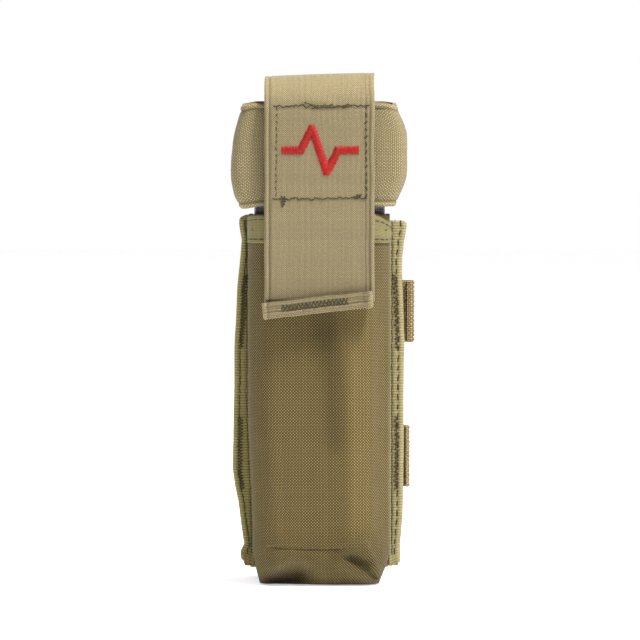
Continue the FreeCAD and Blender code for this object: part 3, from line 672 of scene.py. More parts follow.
def thread_finish(name, dark, light, rough, sheen):
    """Twisted bonded thread: two plies wind round it, so it glints in short slanted flecks."""
    material, tree, shader = finish_of(name)
    where = put(tree, "ShaderNodeTexCoord")
    plies = put(tree, "ShaderNodeTexWave", {
        "Vector": where.outputs["Object"], "Scale": 900.0, "Distortion": 3.0, "Detail": 1.0}, wave_type="BANDS", bands_direction="DIAGONAL")
    stains = put(tree, "ShaderNodeTexNoise", {"Vector": where.outputs["Object"], "Scale": 260.0, "Detail": 3.0})
    blend = put(tree, "ShaderNodeMath", {0: plies.outputs["Fac"], 1: stains.outputs["Fac"]}, operation="MULTIPLY")
    colour = put(tree, "ShaderNodeMix", {"Factor": blend.outputs[0], 6: srgb(dark), 7: srgb(light)}, data_type="RGBA")
    bump = put(tree, "ShaderNodeBump", {"Height": plies.outputs["Fac"], "Strength": 0.5, "Distance": 0.00008})
    matt = put(tree, "ShaderNodeMath", {0: stains.outputs["Fac"], 1: 0.2, 2: rough - 0.1}, operation="MULTIPLY_ADD")
    for node_made, key, socket in ((colour, 2, "Base Color"), (bump, "Normal", "Normal"), (matt, 0, "Roughness")):
        tree.links.new(node_made.outputs[key], shader.inputs[socket])
    shader.inputs["Sheen Weight"].default_value = sheen
    shader.inputs["Specular IOR Level"].default_value = 0.4
    return material


dark_thread = thread_finish("bonded_nylon_thread_dark", "#231c0a", "#63582f", 0.6, 0.05)
pale_thread = thread_finish("bonded_nylon_thread_pale", "#4a4222", "#a79868", 0.6, 0.2)

for side in (-1, 1):
    outer_line, inner_line, rear_line = [], [], []
    for i in range(120):
        z = mix(126.5, 9.0, i / 119)
        jitter = 0.12 * noise.noise(Vector((side * 5.0, z * 0.3, 1.0)))
        edge = wing(side, z)
        tight = box_slim(z) if side < 0 else 0.0
        outer_line.append(((side * (edge - 2.1 + jitter), tape_front + 0.02, z), (0, -1, 0)))
        inner_line.append(((side * (seam_x - tight + 1.15 + jitter), tape_front + 0.05, z), (0, -1, 0)))
        rear_line.append(((side * (edge - 4.2 + jitter), tape_back, z), (0, 1, 0)))
    name = "left" if side < 0 else "right"
    sew("binding_seam_outer_" + name, [outer_line], dark_thread, "pouch",
        pitch=2.2 if side < 0 else 3.4, length=2.0, thread=0.34 if side < 0 else 0.42, scatter=14, seed=3 + side)
    sew("binding_seam_inner_" + name, [inner_line], dark_thread, "pouch",
        pitch=2.4, length=2.3, thread=0.26, rise=0.2, scatter=9, seed=8 + side)
    sew("binding_seam_rear_" + name, [rear_line], dark_thread, "pouch",
        pitch=2.9, length=2.1, thread=0.42, scatter=6, seed=12 + side)

# Hem tape: smooth woven tape folded over the mouth's raw edge and sewn with two lines. At the right it is
# turned in at its end, and its top edge drops towards the back panel.
hem_tape = woven("smooth_hem_tape", "#474326", "#777049", "#8f885f", (0.36, 0.36), 0.10, wander=0.05)
hem_low, hem_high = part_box("mouth_tape")
rows, hem_lines = [], [[], [], []]
hem_out, hem_count = 0.5, 141
for i, (x, y, nx, ny, d) in enumerate(u_line(box_half, box_front, hem_high.y / mm, 10.0, hem_count)):
    drop = 0.9 * ease(17.0, 24.0, x) + 0.7 * ease(-19.0, -24.0, x) * ease(-16, -8, y) + 0.35 * ease(0, 12, y)
    drop += 1.9 * ease(19.0, 24.5, x) * ease(-18.0, -10.0, y)
    top, foot = hem_high.z / mm - drop, hem_low.z / mm + 0.15 * noise.noise(Vector((d * 0.2, 0, 0)))
    bow = 0.12 * noise.noise(Vector((d * 0.16, 4.0, 0.0)))
    face = box_fold(x, 122.0) * ease(0.15, 0.8, -ny) * min(1.0, d / 6)
    at = Vector((x, y, 0)) + Vector((nx, ny, 0)) * face
    outer, inner = [], []
    for k in range(15):
        z = mix(foot, top - 0.9, k / 14)
        dip = 0.16 * math.exp(-((z - top + 1.9) / 0.3) ** 2) + 0.14 * math.exp(-((z - foot - 1.3) / 0.3) ** 2) + 0.14 * math.exp(-((z - foot - 4.6) / 0.3) ** 2)
        outer.append((hem_out + bow - dip, z))
        inner.append((0.08, z))
    for k in range(1, 8):
        a = math.pi * k / 8
        outer.append((mix(hem_out, -cloth_wall - 0.4, (1 - math.cos(a)) / 2), top - 0.9 + 0.9 * math.sin(a)))
        inner.append((mix(0.08, -cloth_wall + 0.05, (1 - math.cos(a)) / 2), top - 0.9 + 0.45 * math.sin(a)))
    for k in range(8):
        z = mix(top - 0.9, foot + 0.4, k / 7)
        outer.append((-cloth_wall - 0.4, z))
        inner.append((-cloth_wall + 0.05, z))
    place = lambda n, z: (at + Vector((nx * n, ny * n, z))) * mm
    rows.append([place(n, z) for n, z in outer] + [place(n, z) for n, z in inner][::-1])
    for line, z in zip(hem_lines, (top - 1.9, foot + 1.3, foot + 4.6)):
        if 3 < i < hem_count - 4:
            spot = at + Vector((nx * (hem_out + bow - 0.05), ny * (hem_out + bow - 0.05), z + 0.2 * noise.noise(Vector((d * 0.35, z, 0)))))
            line.append((tuple(spot), (nx, ny, 0)))
run = [0.0]
for (n0, z0), (n1, z1) in zip(outer, outer[1:]):
    run.append(run[-1] + math.hypot(n1 - n0, z1 - z0) * mm)
hem = skin("mouth_hem", rows, run + run[::-1], hem_tape)
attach(hem, "pouch")
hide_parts("mouth_tape")
sew("mouth_hem_seams", hem_lines[:2], dark_thread, "pouch", pitch=2.7, length=1.9, thread=0.36, scatter=6, seed=21)
sew("mouth_hem_tacking", [hem_lines[2][4:34], hem_lines[2][-34:-6]], dark_thread, "pouch",
    pitch=3.9, length=2.0, thread=0.3, scatter=15, seed=22)

# The crease at the foot is sewn from inside, and only a fine pale line of thread shows on it
crease_line = []
for i in range(70):
    x = mix(-17.5, 13.0, i / 69)
    z = 13.4 + 0.9 * ((x + 3.0) / 15.0) ** 2
    y = box_front - box_fold(x, z)
    crease_line.append(((x, y + 0.02, z), (0, -1, 0)))
sew("foot_crease_seam", [crease_line], pale_thread, "pouch", pitch=1.7, length=1.5, thread=0.16, rise=0.12, scatter=5, seed=31)

# Cuff: a loop of ribbed elastic that stands out round the folded tourniquet, with a corded selvage at its
# top and bottom edges. Its back is sewn to the riser, a strap that comes up from the back panel.
# Woven elastic: rubber threads under nylon make ribs 1 mm apart, with staggered floats across them, and a
# soft satin light on the ribs.
cuff_cloth = woven("ribbed_elastic_tan", "#655b41", "#8d8365", "#b3aa89", (0.5, 0.585), 0.26, wander=0.1, sheen=0.1, cover="#d6ccb2")
cuff_low, cuff_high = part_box("cuff")
z0, z1 = cuff_low.z / mm, cuff_high.z / mm
y0, y1 = cuff_low.y / mm, cuff_high.y / mm
wide = cuff_high.x / mm


def cuff_half(z, side):
    """The cuff's half width at a height: it flares from its tight edges to its full middle, more at the left."""
    low = ((z0, 27.0), (z0 + 3.7, 29.6), (z0 + 10.5, 31.0), (z0 + 16, 30.9), (z1 - 14, 30.2), (z1 - 9.5, 29.4), (z1 - 3, 27.7), (z1, 26.9))
    high = ((z0, 26.0), (z0 + 3.5, 27.9), (z0 + 8, 29.8), (z0 + 11, 30.6), (z1 - 12, 30.7), (z1 - 8.5, 30.1), (z1 - 4, 28.4), (z1, 26.7))
    knots = low if side < 0 else high
    return sum(shape(min(max(z + k * 0.45, z0), z1), *knots) for k in range(-4, 5)) / 9


def ring_line(half, front, back, radius, count):
    """Points round a rounded rectangle, from the middle of the back: place, outward direction."""
    spans = []
    width, depth = 2 * (half - radius), back - front - 2 * radius
    arc = radius * math.pi / 2
    total = 2 * width + 2 * depth + 4 * arc
    line = []
    for i in range(count):
        d = total * i / count
        d -= width / 2
        if d < 0:
            line.append((-(d + width / 2), back, 0.0, 1.0)); continue
        corners = ((-half + radius, back - radius, 90), (-half + radius, front + radius, 180),
                   (half - radius, front + radius, 270), (half - radius, back - radius, 360))
        runs = (depth, width, depth, width)
        for (cx, cy, start), run in zip(corners, runs):
            if d < arc:
                a = math.radians(start + 90 * d / arc)
                line.append((cx + radius * math.cos(a), cy + radius * math.sin(a), math.cos(a), math.sin(a)))
                break
            d -= arc
            a = math.radians(start + 90)
            if d < run:
                line.append((cx + radius * math.cos(a) - math.sin(a) * d, cy + radius * math.sin(a) + math.cos(a) * d, math.cos(a), math.sin(a)))
                break
            d -= run
    return line


profile = [(-0.75, 0.0), (-0.25, 0.03), (0.12, 0.25), (0.26, 0.7), (0.22, 1.2), (-0.02, 1.6), (-0.30, 1.95), (-0.06, 2.4)]
steps = [2.4 + (z1 - z0 - 4.8) * k / 26 for k in range(1, 26)]
tall = z1 - z0
outside = profile + [(0.0, s) for s in steps] + [(n, tall - s) for n, s in profile[::-1]]
section_run = [0.0]
for (n0, s0), (n1, s1) in zip(outside, outside[1:]):
    section_run.append(section_run[-1] + math.hypot(n1 - n0, s1 - s0) * mm)
cuff_wall = 1.8
rings = {}
ring_count = 200
for n, s in outside:
    rings[s] = ring_line(cuff_half(z0 + s, 1), y0, y1, 5.0, ring_count)
rows = []
for i in range(ring_count):
    outer, inner = [], []
    for n, s in outside:
        x, y, nx, ny = rings[s][i]
        z = z0 + s
        x *= cuff_half(z, -1) / cuff_half(z, 1) if x < 0 else 1.0
        back_rise = 0.1 * ease(y0 + 4, y1 - 6, y) * ease(0.0, tall, s) - 0.25 * ease(y0 + 4, y1 - 6, y) * (1 - ease(0.0, tall, s))
        soft = 0.30 * noise.noise(Vector((x * 0.07, y * 0.09, z * 0.05 + 2.0))) + 0.07 * noise.noise(Vector((x * 0.4, y * 0.4, z * 0.3)))
        ahead = ease(y1 - 4, y0 + 4, y)
        z -= (1.35 * ahead + 0.8 * ease(22.0, 28.0, abs(x)) + 0.4) * ease(tall * 0.5, tall, s) + 0.9 * ease(-19.0, -27.0, x) * ease(y1 - 2, y0 + 8, y) * ease(tall * 0.45, 0.0, s)
        z += back_rise + 0.25 * noise.noise(Vector((x * 0.09, y * 0.09, 8.0 if s > tall / 2 else 3.0)))
        soft *= 1.0 if abs(x) > 19 else 0.3
        soft = min(soft, 0.15) if ny < -0.9 else soft
        outer.append(Vector((x + nx * (n + soft), y + ny * (n + soft), min(z, z1 + 1.1))) * mm)
        thin = cuff_wall if 0.3 < s < tall - 0.3 else 1.1
        inner.append(Vector((x - nx * (thin - soft), y - ny * (thin - soft), min(z, z1 + 1.1))) * mm)
    rows.append(outer + inner[::-1])
section = len(outside)


def cuff_painted_shade(p, j):
    """A painted shade darkens the groove beside each corded edge, and the corded edges are paler."""
    s = outside[min(j, 2 * section - 1 - j)][1]
    rim = min(s, tall - s)
    return 0.34 * math.exp(-((rim - 1.95) / 0.4) ** 2) - 0.24 * math.exp(-((rim - 0.9) / 0.6) ** 2)


cuff = skin("elastic_cuff", rows, section_run + section_run[::-1], cuff_cloth, loop=True, painted_light_shade=cuff_painted_shade)
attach(cuff, "pouch")
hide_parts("cuff")


def strap(name, stations, width, thick, finish, cord=0.22, groove=0.22, wave=0.0, seed=0.0, fine=26, pinch=None):
    """A strap with thicker selvages, carried along stations of (middle, side, outward), in millimetres.
    Pinch is how much narrower it is at each station."""
    rows = []
    for i, (centre, side, out) in enumerate(stations):
        half = (width - (pinch[i] if pinch else 0.0)) / 2
        top = [(-half, thick * 0.12), (-half + 0.12, thick * 0.36), (-half + 0.45, thick / 2 + cord * 0.8), (-half + 0.95, thick / 2 + cord),
               (-half + 1.35, thick / 2 + cord * 0.4), (-half + 1.75, thick / 2 - groove), (-half + 2.2, thick / 2)]
        inside = [(mix(-half + 2.2, half - 2.2, k / fine), thick / 2) for k in range(1, fine)]
        top = top + inside + [(-s, n) for s, n in top[::-1]]
        centre, side, out = Vector(centre), Vector(side), Vector(out)
        outer, inner = [], []
        for s, n in top:
            w = wave * noise.noise(Vector((s * 0.11 + seed, i * 0.05, seed))) if wave else 0.0
            outer.append((centre + side * s + out * (n + w)) * mm)
            inner.append((centre + side * s + out * (-n + w)) * mm)
        rows.append(outer + inner[::-1])
    across = [(s + width) * mm for s, n in top]
    return skin(name, rows, across + across[::-1], finish)


riser_low, riser_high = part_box("cuff_riser")
middle_y = (riser_low.y + riser_high.y) / 2 / mm
riser_cloth = woven("tight_tan_webbing", "#4a4026", "#8d7d56", "#b4a478", (1.0, 0.9), 0.24, cover="#d8ccb0")
stations = [((0, middle_y, mix(riser_low.z / mm, riser_high.z / mm, k / 60)), (1, 0, 0), (0, 1, 0)) for k in range(61)]
riser = strap("cuff_riser_strap", stations, (riser_high.x - riser_low.x) / mm, 1.4, riser_cloth, cord=0.06, groove=0.1)
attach(riser, "pouch")
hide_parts("cuff_riser")
tack_lines = []
for z in (riser_low.z / mm + 3, riser_low.z / mm + 12):
    tack_lines.append([((mix(-17, 17, k / 40), riser_low.y / mm + 0.1, z), (0, -1, 0)) for k in range(41)])
sew("riser_seams", tack_lines, dark_thread, "pouch", pitch=2.8, length=2.0, thread=0.4, seed=41)


def pile_tree():
    """A Geometry Nodes tree that plants a bent nylon filament on each point of a mesh."""
    tree = bpy.data.node_groups.new("pile", "GeometryNodeTree")
    tree.is_modifier = True
    face = tree.interface
    face.new_socket("Roots", in_out="INPUT", socket_type="NodeSocketGeometry")
    for label in ("Height", "Reach", "Filament"):
        face.new_socket(label, in_out="INPUT", socket_type="NodeSocketFloat")
    face.new_socket("Seed", in_out="INPUT", socket_type="NodeSocketInt")
    face.new_socket("Finish", in_out="INPUT", socket_type="NodeSocketMaterial")
    face.new_socket("Pile", in_out="OUTPUT", socket_type="NodeSocketGeometry")
    given = put(tree, "NodeGroupInput").outputs
    roots = put(tree, "GeometryNodeMeshToPoints", {"Mesh": given["Roots"]})
    high = put(tree, "ShaderNodeMath", {0: given["Height"], 1: 1.6}, operation="MULTIPLY")
    top = put(tree, "ShaderNodeCombineXYZ", {"X": given["Reach"], "Z": high.outputs[0]})
    drop = put(tree, "ShaderNodeMath", {0: given["Height"], 1: 0.15}, operation="MULTIPLY")
    end = put(tree, "ShaderNodeCombineXYZ", {"X": given["Reach"], "Z": drop.outputs[0]})
    arch = put(tree, "GeometryNodeCurveQuadraticBezier", {"Resolution": 4, "Start": (0, 0, 0), "Middle": top.outputs[0], "End": end.outputs[0]})
    radius = put(tree, "ShaderNodeMath", {0: given["Filament"], 1: 0.5}, operation="MULTIPLY")
    ring = put(tree, "GeometryNodeCurvePrimitiveCircle", {"Resolution": 4, "Radius": radius.outputs[0]})
    filament = put(tree, "GeometryNodeCurveToMesh", {"Curve": arch.outputs[0], "Profile Curve": ring.outputs[0], "Fill Caps": True})
    up = put(tree, "GeometryNodeInputNamedAttribute", {"Name": "face_up"}, data_type="FLOAT_VECTOR")
    upright = put(tree, "FunctionNodeAlignRotationToVector", {"Vector": up.outputs[0]}, axis="Z")
    chance = put(tree, "FunctionNodeRandomValue", {2: 0.0, 3: 2 * math.pi, "Seed": given["Seed"]}, data_type="FLOAT")
    spin = put(tree, "FunctionNodeAxisAngleToRotation", {"Axis": (0, 0, 1), "Angle": chance.outputs[1]})
    turned = put(tree, "FunctionNodeRotateRotation", {"Rotation": upright.outputs[0], "Rotate By": spin.outputs[0]}, rotation_space="LOCAL")
    placed = put(tree, "GeometryNodeInstanceOnPoints", {"Points": roots.outputs[0], "Instance": filament.outputs[0], "Rotation": turned.outputs[0]})
    real = put(tree, "GeometryNodeRealizeInstances", {"Geometry": placed.outputs[0]})
    smooth = put(tree, "GeometryNodeSetShadeSmooth", {"Geometry": real.outputs[0]})
    painted = put(tree, "GeometryNodeSetMaterial", {"Geometry": smooth.outputs[0], "Material": given["Finish"]})
    put(tree, "NodeGroupOutput", {0: painted.outputs[0]})
    return tree


filaments = pile_tree()


def patch(name, node, finish, pile, body, outward, spacing, height, reach, filament, seed):
    """A sewn patch of hook or loop tape: a thin backing with a pile of filaments on its outward face."""
    low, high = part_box(node)
    rows = []
    y_root, y_back = (low.y, high.y) if outward < 0 else (high.y, low.y)
    y_root = (y_root - outward * height * 0.9 * mm) / mm
    for i in range(25):
        z = mix(low.z, high.z, i / 24) / mm
        rim = 0.25 if i in (0, 24) else 0.0
        xs = [mix(low.x + 0.05 * mm, high.x - 0.05 * mm, j / 24) / mm for j in range(25)]
        faced = [Vector((x, y_root - outward * (0.25 if j in (0, 24) else rim), z)) * mm for j, x in enumerate(xs)]
        rows.append(faced + [Vector((x, y_back / mm, z)) * mm for x in xs[::-1]])
    width = [mix(low.x, high.x, j / 24) for j in range(25)]
    base = skin(name, rows, width + width[::-1], finish)
    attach(base, body)
    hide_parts(node)
    chance = random.Random(seed)
    columns, lines = int((high.x - low.x - 2 * mm) / mm / spacing), int((high.z - low.z - 2 * mm) / mm / spacing)
    spots = []
    for i in range(columns):
        for j in range(lines):
            x = mix(low.x + 1.2 * mm, high.x - 1.2 * mm, (i + 0.5 * (j % 2) * 0.9) / (columns - 0.5))
            z = mix(low.z + 1.2 * mm, high.z - 1.2 * mm, j / (lines - 1))
            spots.append((x + chance.uniform(-0.2, 0.2) * spacing * mm, y_root * mm, z + chance.uniform(-0.2, 0.2) * spacing * mm))
    mesh = bpy.data.meshes.new(name + "_roots")
    mesh.from_pydata(spots, [], [])
    facing = mesh.attributes.new("face_up", "FLOAT_VECTOR", "POINT")
    facing.data.foreach_set("vector", [0.0, float(outward), 0.0] * len(spots))
    tuft = grown(name + "_pile", mesh, filaments, Height=height * mm, Reach=reach * mm, Filament=filament * mm, Seed=seed, Finish=pile)
    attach(tuft, body)


# Loop tape: a brushed mat of fine nylon loops. It scatters light, so it looks soft and a little paler.
loop_base = woven("loop_tape_backing", "#41381f", "#7c6d48", "#97875e", (0.5, 0.5), 0.12)
loop_pile = thread_finish("brushed_nylon_loops", "#6f6140", "#a8986e", 0.8, 0.6)
patch("loop_patch", "cuff_loop_patch", loop_base, loop_pile, "pouch", -1, 0.85, 0.55, 0.55, 0.16, 51)

# Back webbing: two rows of 25 mm nylon webbing sewn flat to the panel, tacked every 38 mm so a strap can
# weave through. Each right end is folded double and sticks out past the binding.
# Nylon webbing: fat staggered ribs along its length, with painted shade in the pits where the weft goes under.
webbing = woven("nylon_webbing_tan", "#3c311c", "#8d7e5a", "#b9aa86", (0.66, 0.62), 0.42, wander=0.1, cover="#d8cbb0")
for row, short, sunk in (("upper", 1.8, 0.0), ("lower", 0.2, 1.3)):
    node = "molle_row_" + row
    low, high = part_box(node)
    z = (low.z + high.z) / 2 / mm
    y = high.y / mm - 0.7
    right = high.x / mm - short
    path = []
    for k in range(90):
        x = mix(max(low.x / mm, 0.9 - wing(-1, z + 12)), right - 1.4, k / 89)
        bulge = 0.0
        for a, b in ((-30.6, -19.05), (-19.05, 19.05)):
            if a < x < b:
                bulge = (0.35 if b - a > 20 else 0.1) * math.sin(math.pi * (x - a) / (b - a)) ** 2
        path.append(((x, y + bulge * 0.9, z), (0, 0, 1), (0, 1, 0)))
    for k in range(1, 12):
        a = math.pi * k / 12
        path.append(((right - 1.4 + 0.7 * math.sin(a), y - 0.7 + 0.7 * math.cos(a), z), (0, 0, 1), (math.sin(a), math.cos(a), 0)))
    for k in range(5):
        path.append(((mix(right - 1.4, 31.4, k / 4), y - 1.4, z), (0, 0, 1), (0, -1, 0)))
    tight = [3.2 * ease(22.0, 31.0, place[0]) for place, across, out in path]
    path = [((x, y, z - sunk * ease(22.0, 31.0, x)), across, out) for (x, y, z), across, out in path]
    piece = strap("webbing_row_" + row, path, (high.z - low.z) / mm, 1.3, webbing, cord=0.05, groove=0.14, wave=0.12,
                  seed=4.0 if row == "upper" else 9.0, pinch=tight)
    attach(piece, "pouch")
    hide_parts(node)
    # Raw ends of the fold are frayed: short stiff weft ends stand out of it
    fray = [[((right + 0.02, y - 0.7, mix(low.z / mm + 2.4, high.z / mm - 2.4, k / 30) - sunk), (1, 0, 0)) for k in range(31)],
            [((right - 1.6, y - 2.12, mix(low.z / mm + 2.4, high.z / mm - 2.4, k / 30) - sunk), (0, -1, 0)) for k in range(31)]]
    sew("webbing_end_" + row, fray, pale_thread, "pouch", pitch=1.6, length=0.8, thread=0.24, rise=0.1, turn=35, scatter=40, seed=61)

# Zigzag tacks: each is a dense row of slanted stitches in dark thread, through the row and the panel at the
# back, and through the side tape at the front.
for side, sign in (("left", -1), ("right", 1)):
    for row in ("upper", "lower"):
        low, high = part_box("row_tack_" + row + "_" + side)
        x = (low.x + high.x) / 2 / mm
        line = [((x, high.y / mm - 0.25, mix(low.z, high.z, k / 40) / mm), (0, 1, 0)) for k in range(41)]
        sew("row_tack_" + row + "_" + side + "_thread", [line], dark_thread, "pouch", pitch=0.5, length=2.1, thread=0.36,
            turn=68, scatter=7, seed=70 + sign, stands_for=["row_tack_" + row + "_" + side])
        low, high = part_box("tape_tack_" + row + "_" + side)
        x = (low.x + high.x) / 2 / mm + sign * 0.5
        line = []
        for k in range(60):
            z = mix(low.z, high.z, k / 59) / mm
            bend = 0.35 * noise.noise(Vector((z * 0.35, sign * 4.0, 1.0)))
            shift = min(0.0, wing(sign, z) - 31.0) * sign
            line.append(((x + bend + shift, high.y / mm - 0.05, z), (0, -1, 0)))
        sew("tape_tack_" + row + "_" + side + "_thread", [line], dark_thread, "pouch", pitch=0.55 if sign < 0 else 0.8, length=2.0, thread=0.34,
            turn=58, scatter=16, seed=80 + sign, stands_for=["tape_tack_" + row + "_" + side])

# Flap: one 38 mm elastic strap. It is sewn to the back panel, runs up behind the cuff, over the top and
# down the front. It bends at three soft folds, and is made in three lengths so each can cross one fold.
# Woven elastic, ribs 1.03 mm apart along the strap with staggered floats: a fine sandy grain, and a corded
# selvage at each edge with a groove beside it, darkened by painted shade.
flap_cloth = woven("ribbed_elastic_sand", "#665d44", "#887e63", "#aba183", (0.42, 0.36), 0.24, wander=0.1, sheen=0.1, cover="#dcd3bd", speck=0.36)
anchor_low, anchor_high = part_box("flap_anchor")
rear_low, rear_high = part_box("flap_back")
over_low, over_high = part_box("flap_top")
fall_low, fall_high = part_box("flap_front")
rear_y = (rear_low.y + rear_high.y) / 2 / mm
fall_y = (fall_low.y + fall_high.y) / 2 / mm
top_z = (over_low.z + over_high.z) / 2 / mm
flap_wide = (fall_high.x - fall_low.x) / mm
rear_bend, fall_bend = 6.5, 9.5

spine = []


def run_to(points, count):
    """Adds straight places between two points of the flap's side view (depth, height)."""
    (ya, za), (yb, zb) = points
    out = Vector((0, zb - za, -(yb - ya))).normalized()
    for k in range(count):
        spine.append((mix(ya, yb, k / count), mix(za, zb, k / count), out))


run_to(((rear_y - 0.15, anchor_low.z / mm + 0.3), (rear_y, rear_low.z / mm + 2)), 10)
run_to(((rear_y, rear_low.z / mm + 2), (rear_y, top_z - rear_bend)), 50)
rear_seam = 35
for k in range(14):
    a = math.pi / 2 * k / 14
    spine.append((rear_y - rear_bend + rear_bend * math.cos(a), top_z - rear_bend + rear_bend * math.sin(a), Vector((0, math.cos(a), math.sin(a)))))
run_to(((rear_y - rear_bend, top_z), (fall_y + fall_bend, top_z)), 20)
for k in range(20):
    a = math.pi / 2 * k / 20
    spine.append((fall_y + fall_bend - fall_bend * math.sin(a), top_z - fall_bend + fall_bend * math.cos(a), Vector((0, -math.sin(a), math.cos(a)))))
run_to(((fall_y, top_z - fall_bend), (fall_y, fall_low.z / mm + 1.2)), 64)
spine.append((fall_y, fall_low.z / mm + 1.2, Vector((0, -1, 0))))


def flap_point(place, x):
    """A place on the flap's middle surface, with its soft unevenness."""
    y, z, out = place
    soft = 0.16 * noise.noise(Vector((x * 0.05, y * 0.06, z * 0.045 + 6.0)))
    tilt = 0.033 * x * ease(top_z - 30, top_z, z) * (1 if y < 0 else 0.6)
    return Vector((x, y, z + tilt)) + out * (soft - 0.12 * (x / 19.1) ** 2)


def flap_length(name, first, last):
    """One length of the flap, between two of the spine's places."""
    half, thick = flap_wide / 2, 1.5
    edge = [(-half, 0.15), (-half + 0.12, 0.55), (-half + 0.4, 0.86), (-half + 0.85, 0.98), (-half + 1.3, 0.84), (-half + 1.65, 0.42), (-half + 1.95, 0.46), (-half + 2.3, 0.75)]
    right = [(s - 0.0, n) for s, n in edge[::-1]]
    right = [(half - 3.4, 0.72), (half - 3.05, 0.5), (half - 2.7, 0.80), (half - 2.2, 0.84), (half - 1.85, 0.45), (half - 1.55, 0.45), (half - 1.2, 0.86), (half - 0.7, 0.98), (half - 0.3, 0.8), (half - 0.1, 0.5), (half, 0.15)]
    inside = [(mix(-half + 2.3, half - 3.4, k / 30), thick / 2) for k in range(1, 30)]
    top = edge + inside + right
    rows, run = [], 0.0
    for i in range(first, last + 1):
        place = spine[i]
        outer, inner = [], []
        for s, n in top:
            s = s + 0.18 * noise.noise(Vector((i * 0.09, 1.0 if s < 0 else 5.0, 2.0)))
            p = flap_point(place, s)
            # The selvages are pulled flat where the strap bends over the top
            n -= 0.35 * max(0.0, n - 0.7) / 0.28 * ease(top_z - 14, top_z - 4, place[1])
            outer.append((p + place[2] * n) * mm)
            inner.append((p - place[2] * min(n, 0.78)) * mm)
        rows.append(outer + inner[::-1])
    across = [(s + half) * mm for s, n in top]

    def flap_painted_shade_light(p, j):
        """A painted shade darkens the groove inside each selvage and one more groove at the right; the selvages are
        paler, and painted light brightens the strap near its top bend.
        """
        s = top[min(j, 2 * len(top) - 1 - j)][0]
        left, right_edge = s + half, half - s
        dark = 0.34 * math.exp(-((left - 1.75) / 0.25) ** 2) - 0.14 * math.exp(-((left - 0.8) / 0.5) ** 2)
        dark += 0.30 * math.exp(-((right_edge - 1.7) / 0.25) ** 2) - 0.14 * math.exp(-((right_edge - 0.8) / 0.5) ** 2)
        dark += 0.24 * math.exp(-((right_edge - 3.05) / 0.22) ** 2)
        # Painted light near the top bend, which faces the key light
        return dark + 0.02 - 0.34 * ease(top_z - 16, top_z - 5, p.z)

    return skin(name, rows, across + across[::-1], flap_cloth, painted_light_shade=flap_painted_shade_light)


top_seam = 10 + 50 + 14 + 10
pieces = (
    ("flap_root_run", 0, rear_seam, "flap_anchor", ("pouch", "flap_back"), (rear_y, anchor_high.z / mm - 1.5), (rear_y, rear_low.z / mm + 3.5)),
    ("flap_over_run", rear_seam, top_seam, "flap_back", ("flap_back", "flap_top"), (rear_y, top_z - 9), (rear_y - 9, top_z)),
    ("flap_front_run", top_seam, len(spine) - 1, "flap_front", ("flap_top", "flap_front"), (fall_y + 10, top_z), (fall_y, top_z - 10)),
)
for name, first, last, node, bodies, start, end in pieces:
    length = flap_length(name, first, last)
    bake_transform(length)
    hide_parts(node)
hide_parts("flap_top")
anchor_lines = []
for z in (anchor_low.z / mm + 1.6, anchor_high.z / mm - 1.6):
    anchor_lines.append([((mix(-17.8, 17.8, k / 40), anchor_high.y / mm - 0.02, z), (0, 1, 0)) for k in range(41)])
sew("flap_anchor_seams", anchor_lines, dark_thread, "pouch", pitch=2.6, length=1.9, thread=0.45, seed=90)

# Hook tape inside the flap, sewn on by the square of stitching that shows outside
hook_base = woven("hook_tape_backing", "#3a321d", "#72643f", "#8b7c54", (0.55, 0.55), 0.12)
hook_pile = thread_finish("moulded_nylon_hooks", "#5b4f31", "#8f8059", 0.55, 0.1)
patch("hook_patch_tape", "hook_patch", hook_base, hook_pile, "flap_front", 1, 1.15, 0.5, 0.5, 0.24, 52)

# The square of stitching: the machine's thread runs slack along the top and bottom, where it snakes and
# doubles, and pulls tight down the sides, where only dots of it show. Two knots are left at the foot.
square_low, square_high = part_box("patch_stitching")
sx0, sx1 = square_low.x / mm + 0.9, square_high.x / mm + 0.5
sz0, sz1 = square_low.z / mm - 0.8, square_high.z / mm - 0.8


def face_y(x, z):
    """The flap's outer face at a place on its front."""
    return flap_point((fall_y, z, Vector((0, -1, 0))), x).y - 0.75


def on_flap(points):
    return [((x, face_y(x, z) - 0.02, z), (0, -1, 0)) for x, z in points]


def snake(start, end, count, sway, seed):
    """A slack line between two places that sways to both sides."""
    line = []
    (xa, za), (xb, zb) = start, end
    for k in range(count + 1):
        t = k / count
        away = sway * noise.noise(Vector((t * (count / 5.0), seed, 0.0))) * 1.4
        across = (-(zb - za), xb - xa)
        size = math.hypot(*across)
        line.append((mix(xa, xb, t) + across[0] / size * away, mix(za, zb, t) + across[1] / size * away))
    return line


side_tall = sz1 - sz0
sew("patch_top_seam", [on_flap(snake((sx0, sz1 - 0.2), (sx1, sz1 + 0.1), 80, 0.75, 3.0))], dark_thread, "flap_front",
    pitch=1.05, length=1.35, thread=0.42, rise=0.4, turn=14, scatter=16, seed=91, stands_for=["patch_stitching"])
sew("patch_top_doubled", [on_flap(snake((-4.6, sz1 + 1.0), (-1.0, sz1 - 0.6), 16, 0.3, 5.0)),
                          on_flap(snake((-2.2, sz1 - 0.9), (9.6, sz1 - 0.3), 30, 0.35, 7.0))], dark_thread, "flap_front",
    pitch=0.9, length=1.4, thread=0.46, rise=0.45, turn=10, scatter=14, seed=92)
sew("patch_top_pale_thread", [on_flap(snake((-5.5, sz1 + 1.2), (-1.5, sz1 + 0.2), 16, 0.3, 9.0)), on_flap(snake((-3.6, sz1 - 0.3), (1.6, sz1 + 0.5), 16, 0.4, 2.0))],
    pale_thread, "flap_front", pitch=0.9, length=1.3, thread=0.34, rise=0.5, turn=8, scatter=12, seed=93)
sew("patch_bottom_seam", [on_flap(snake((sx0 - 0.3, sz0 + 0.1), (sx1 - 0.6, sz0 + 0.5), 80, 0.7, 11.0))], dark_thread, "flap_front",
    pitch=1.1, length=1.35, thread=0.40, rise=0.4, turn=16, scatter=16, seed=94)
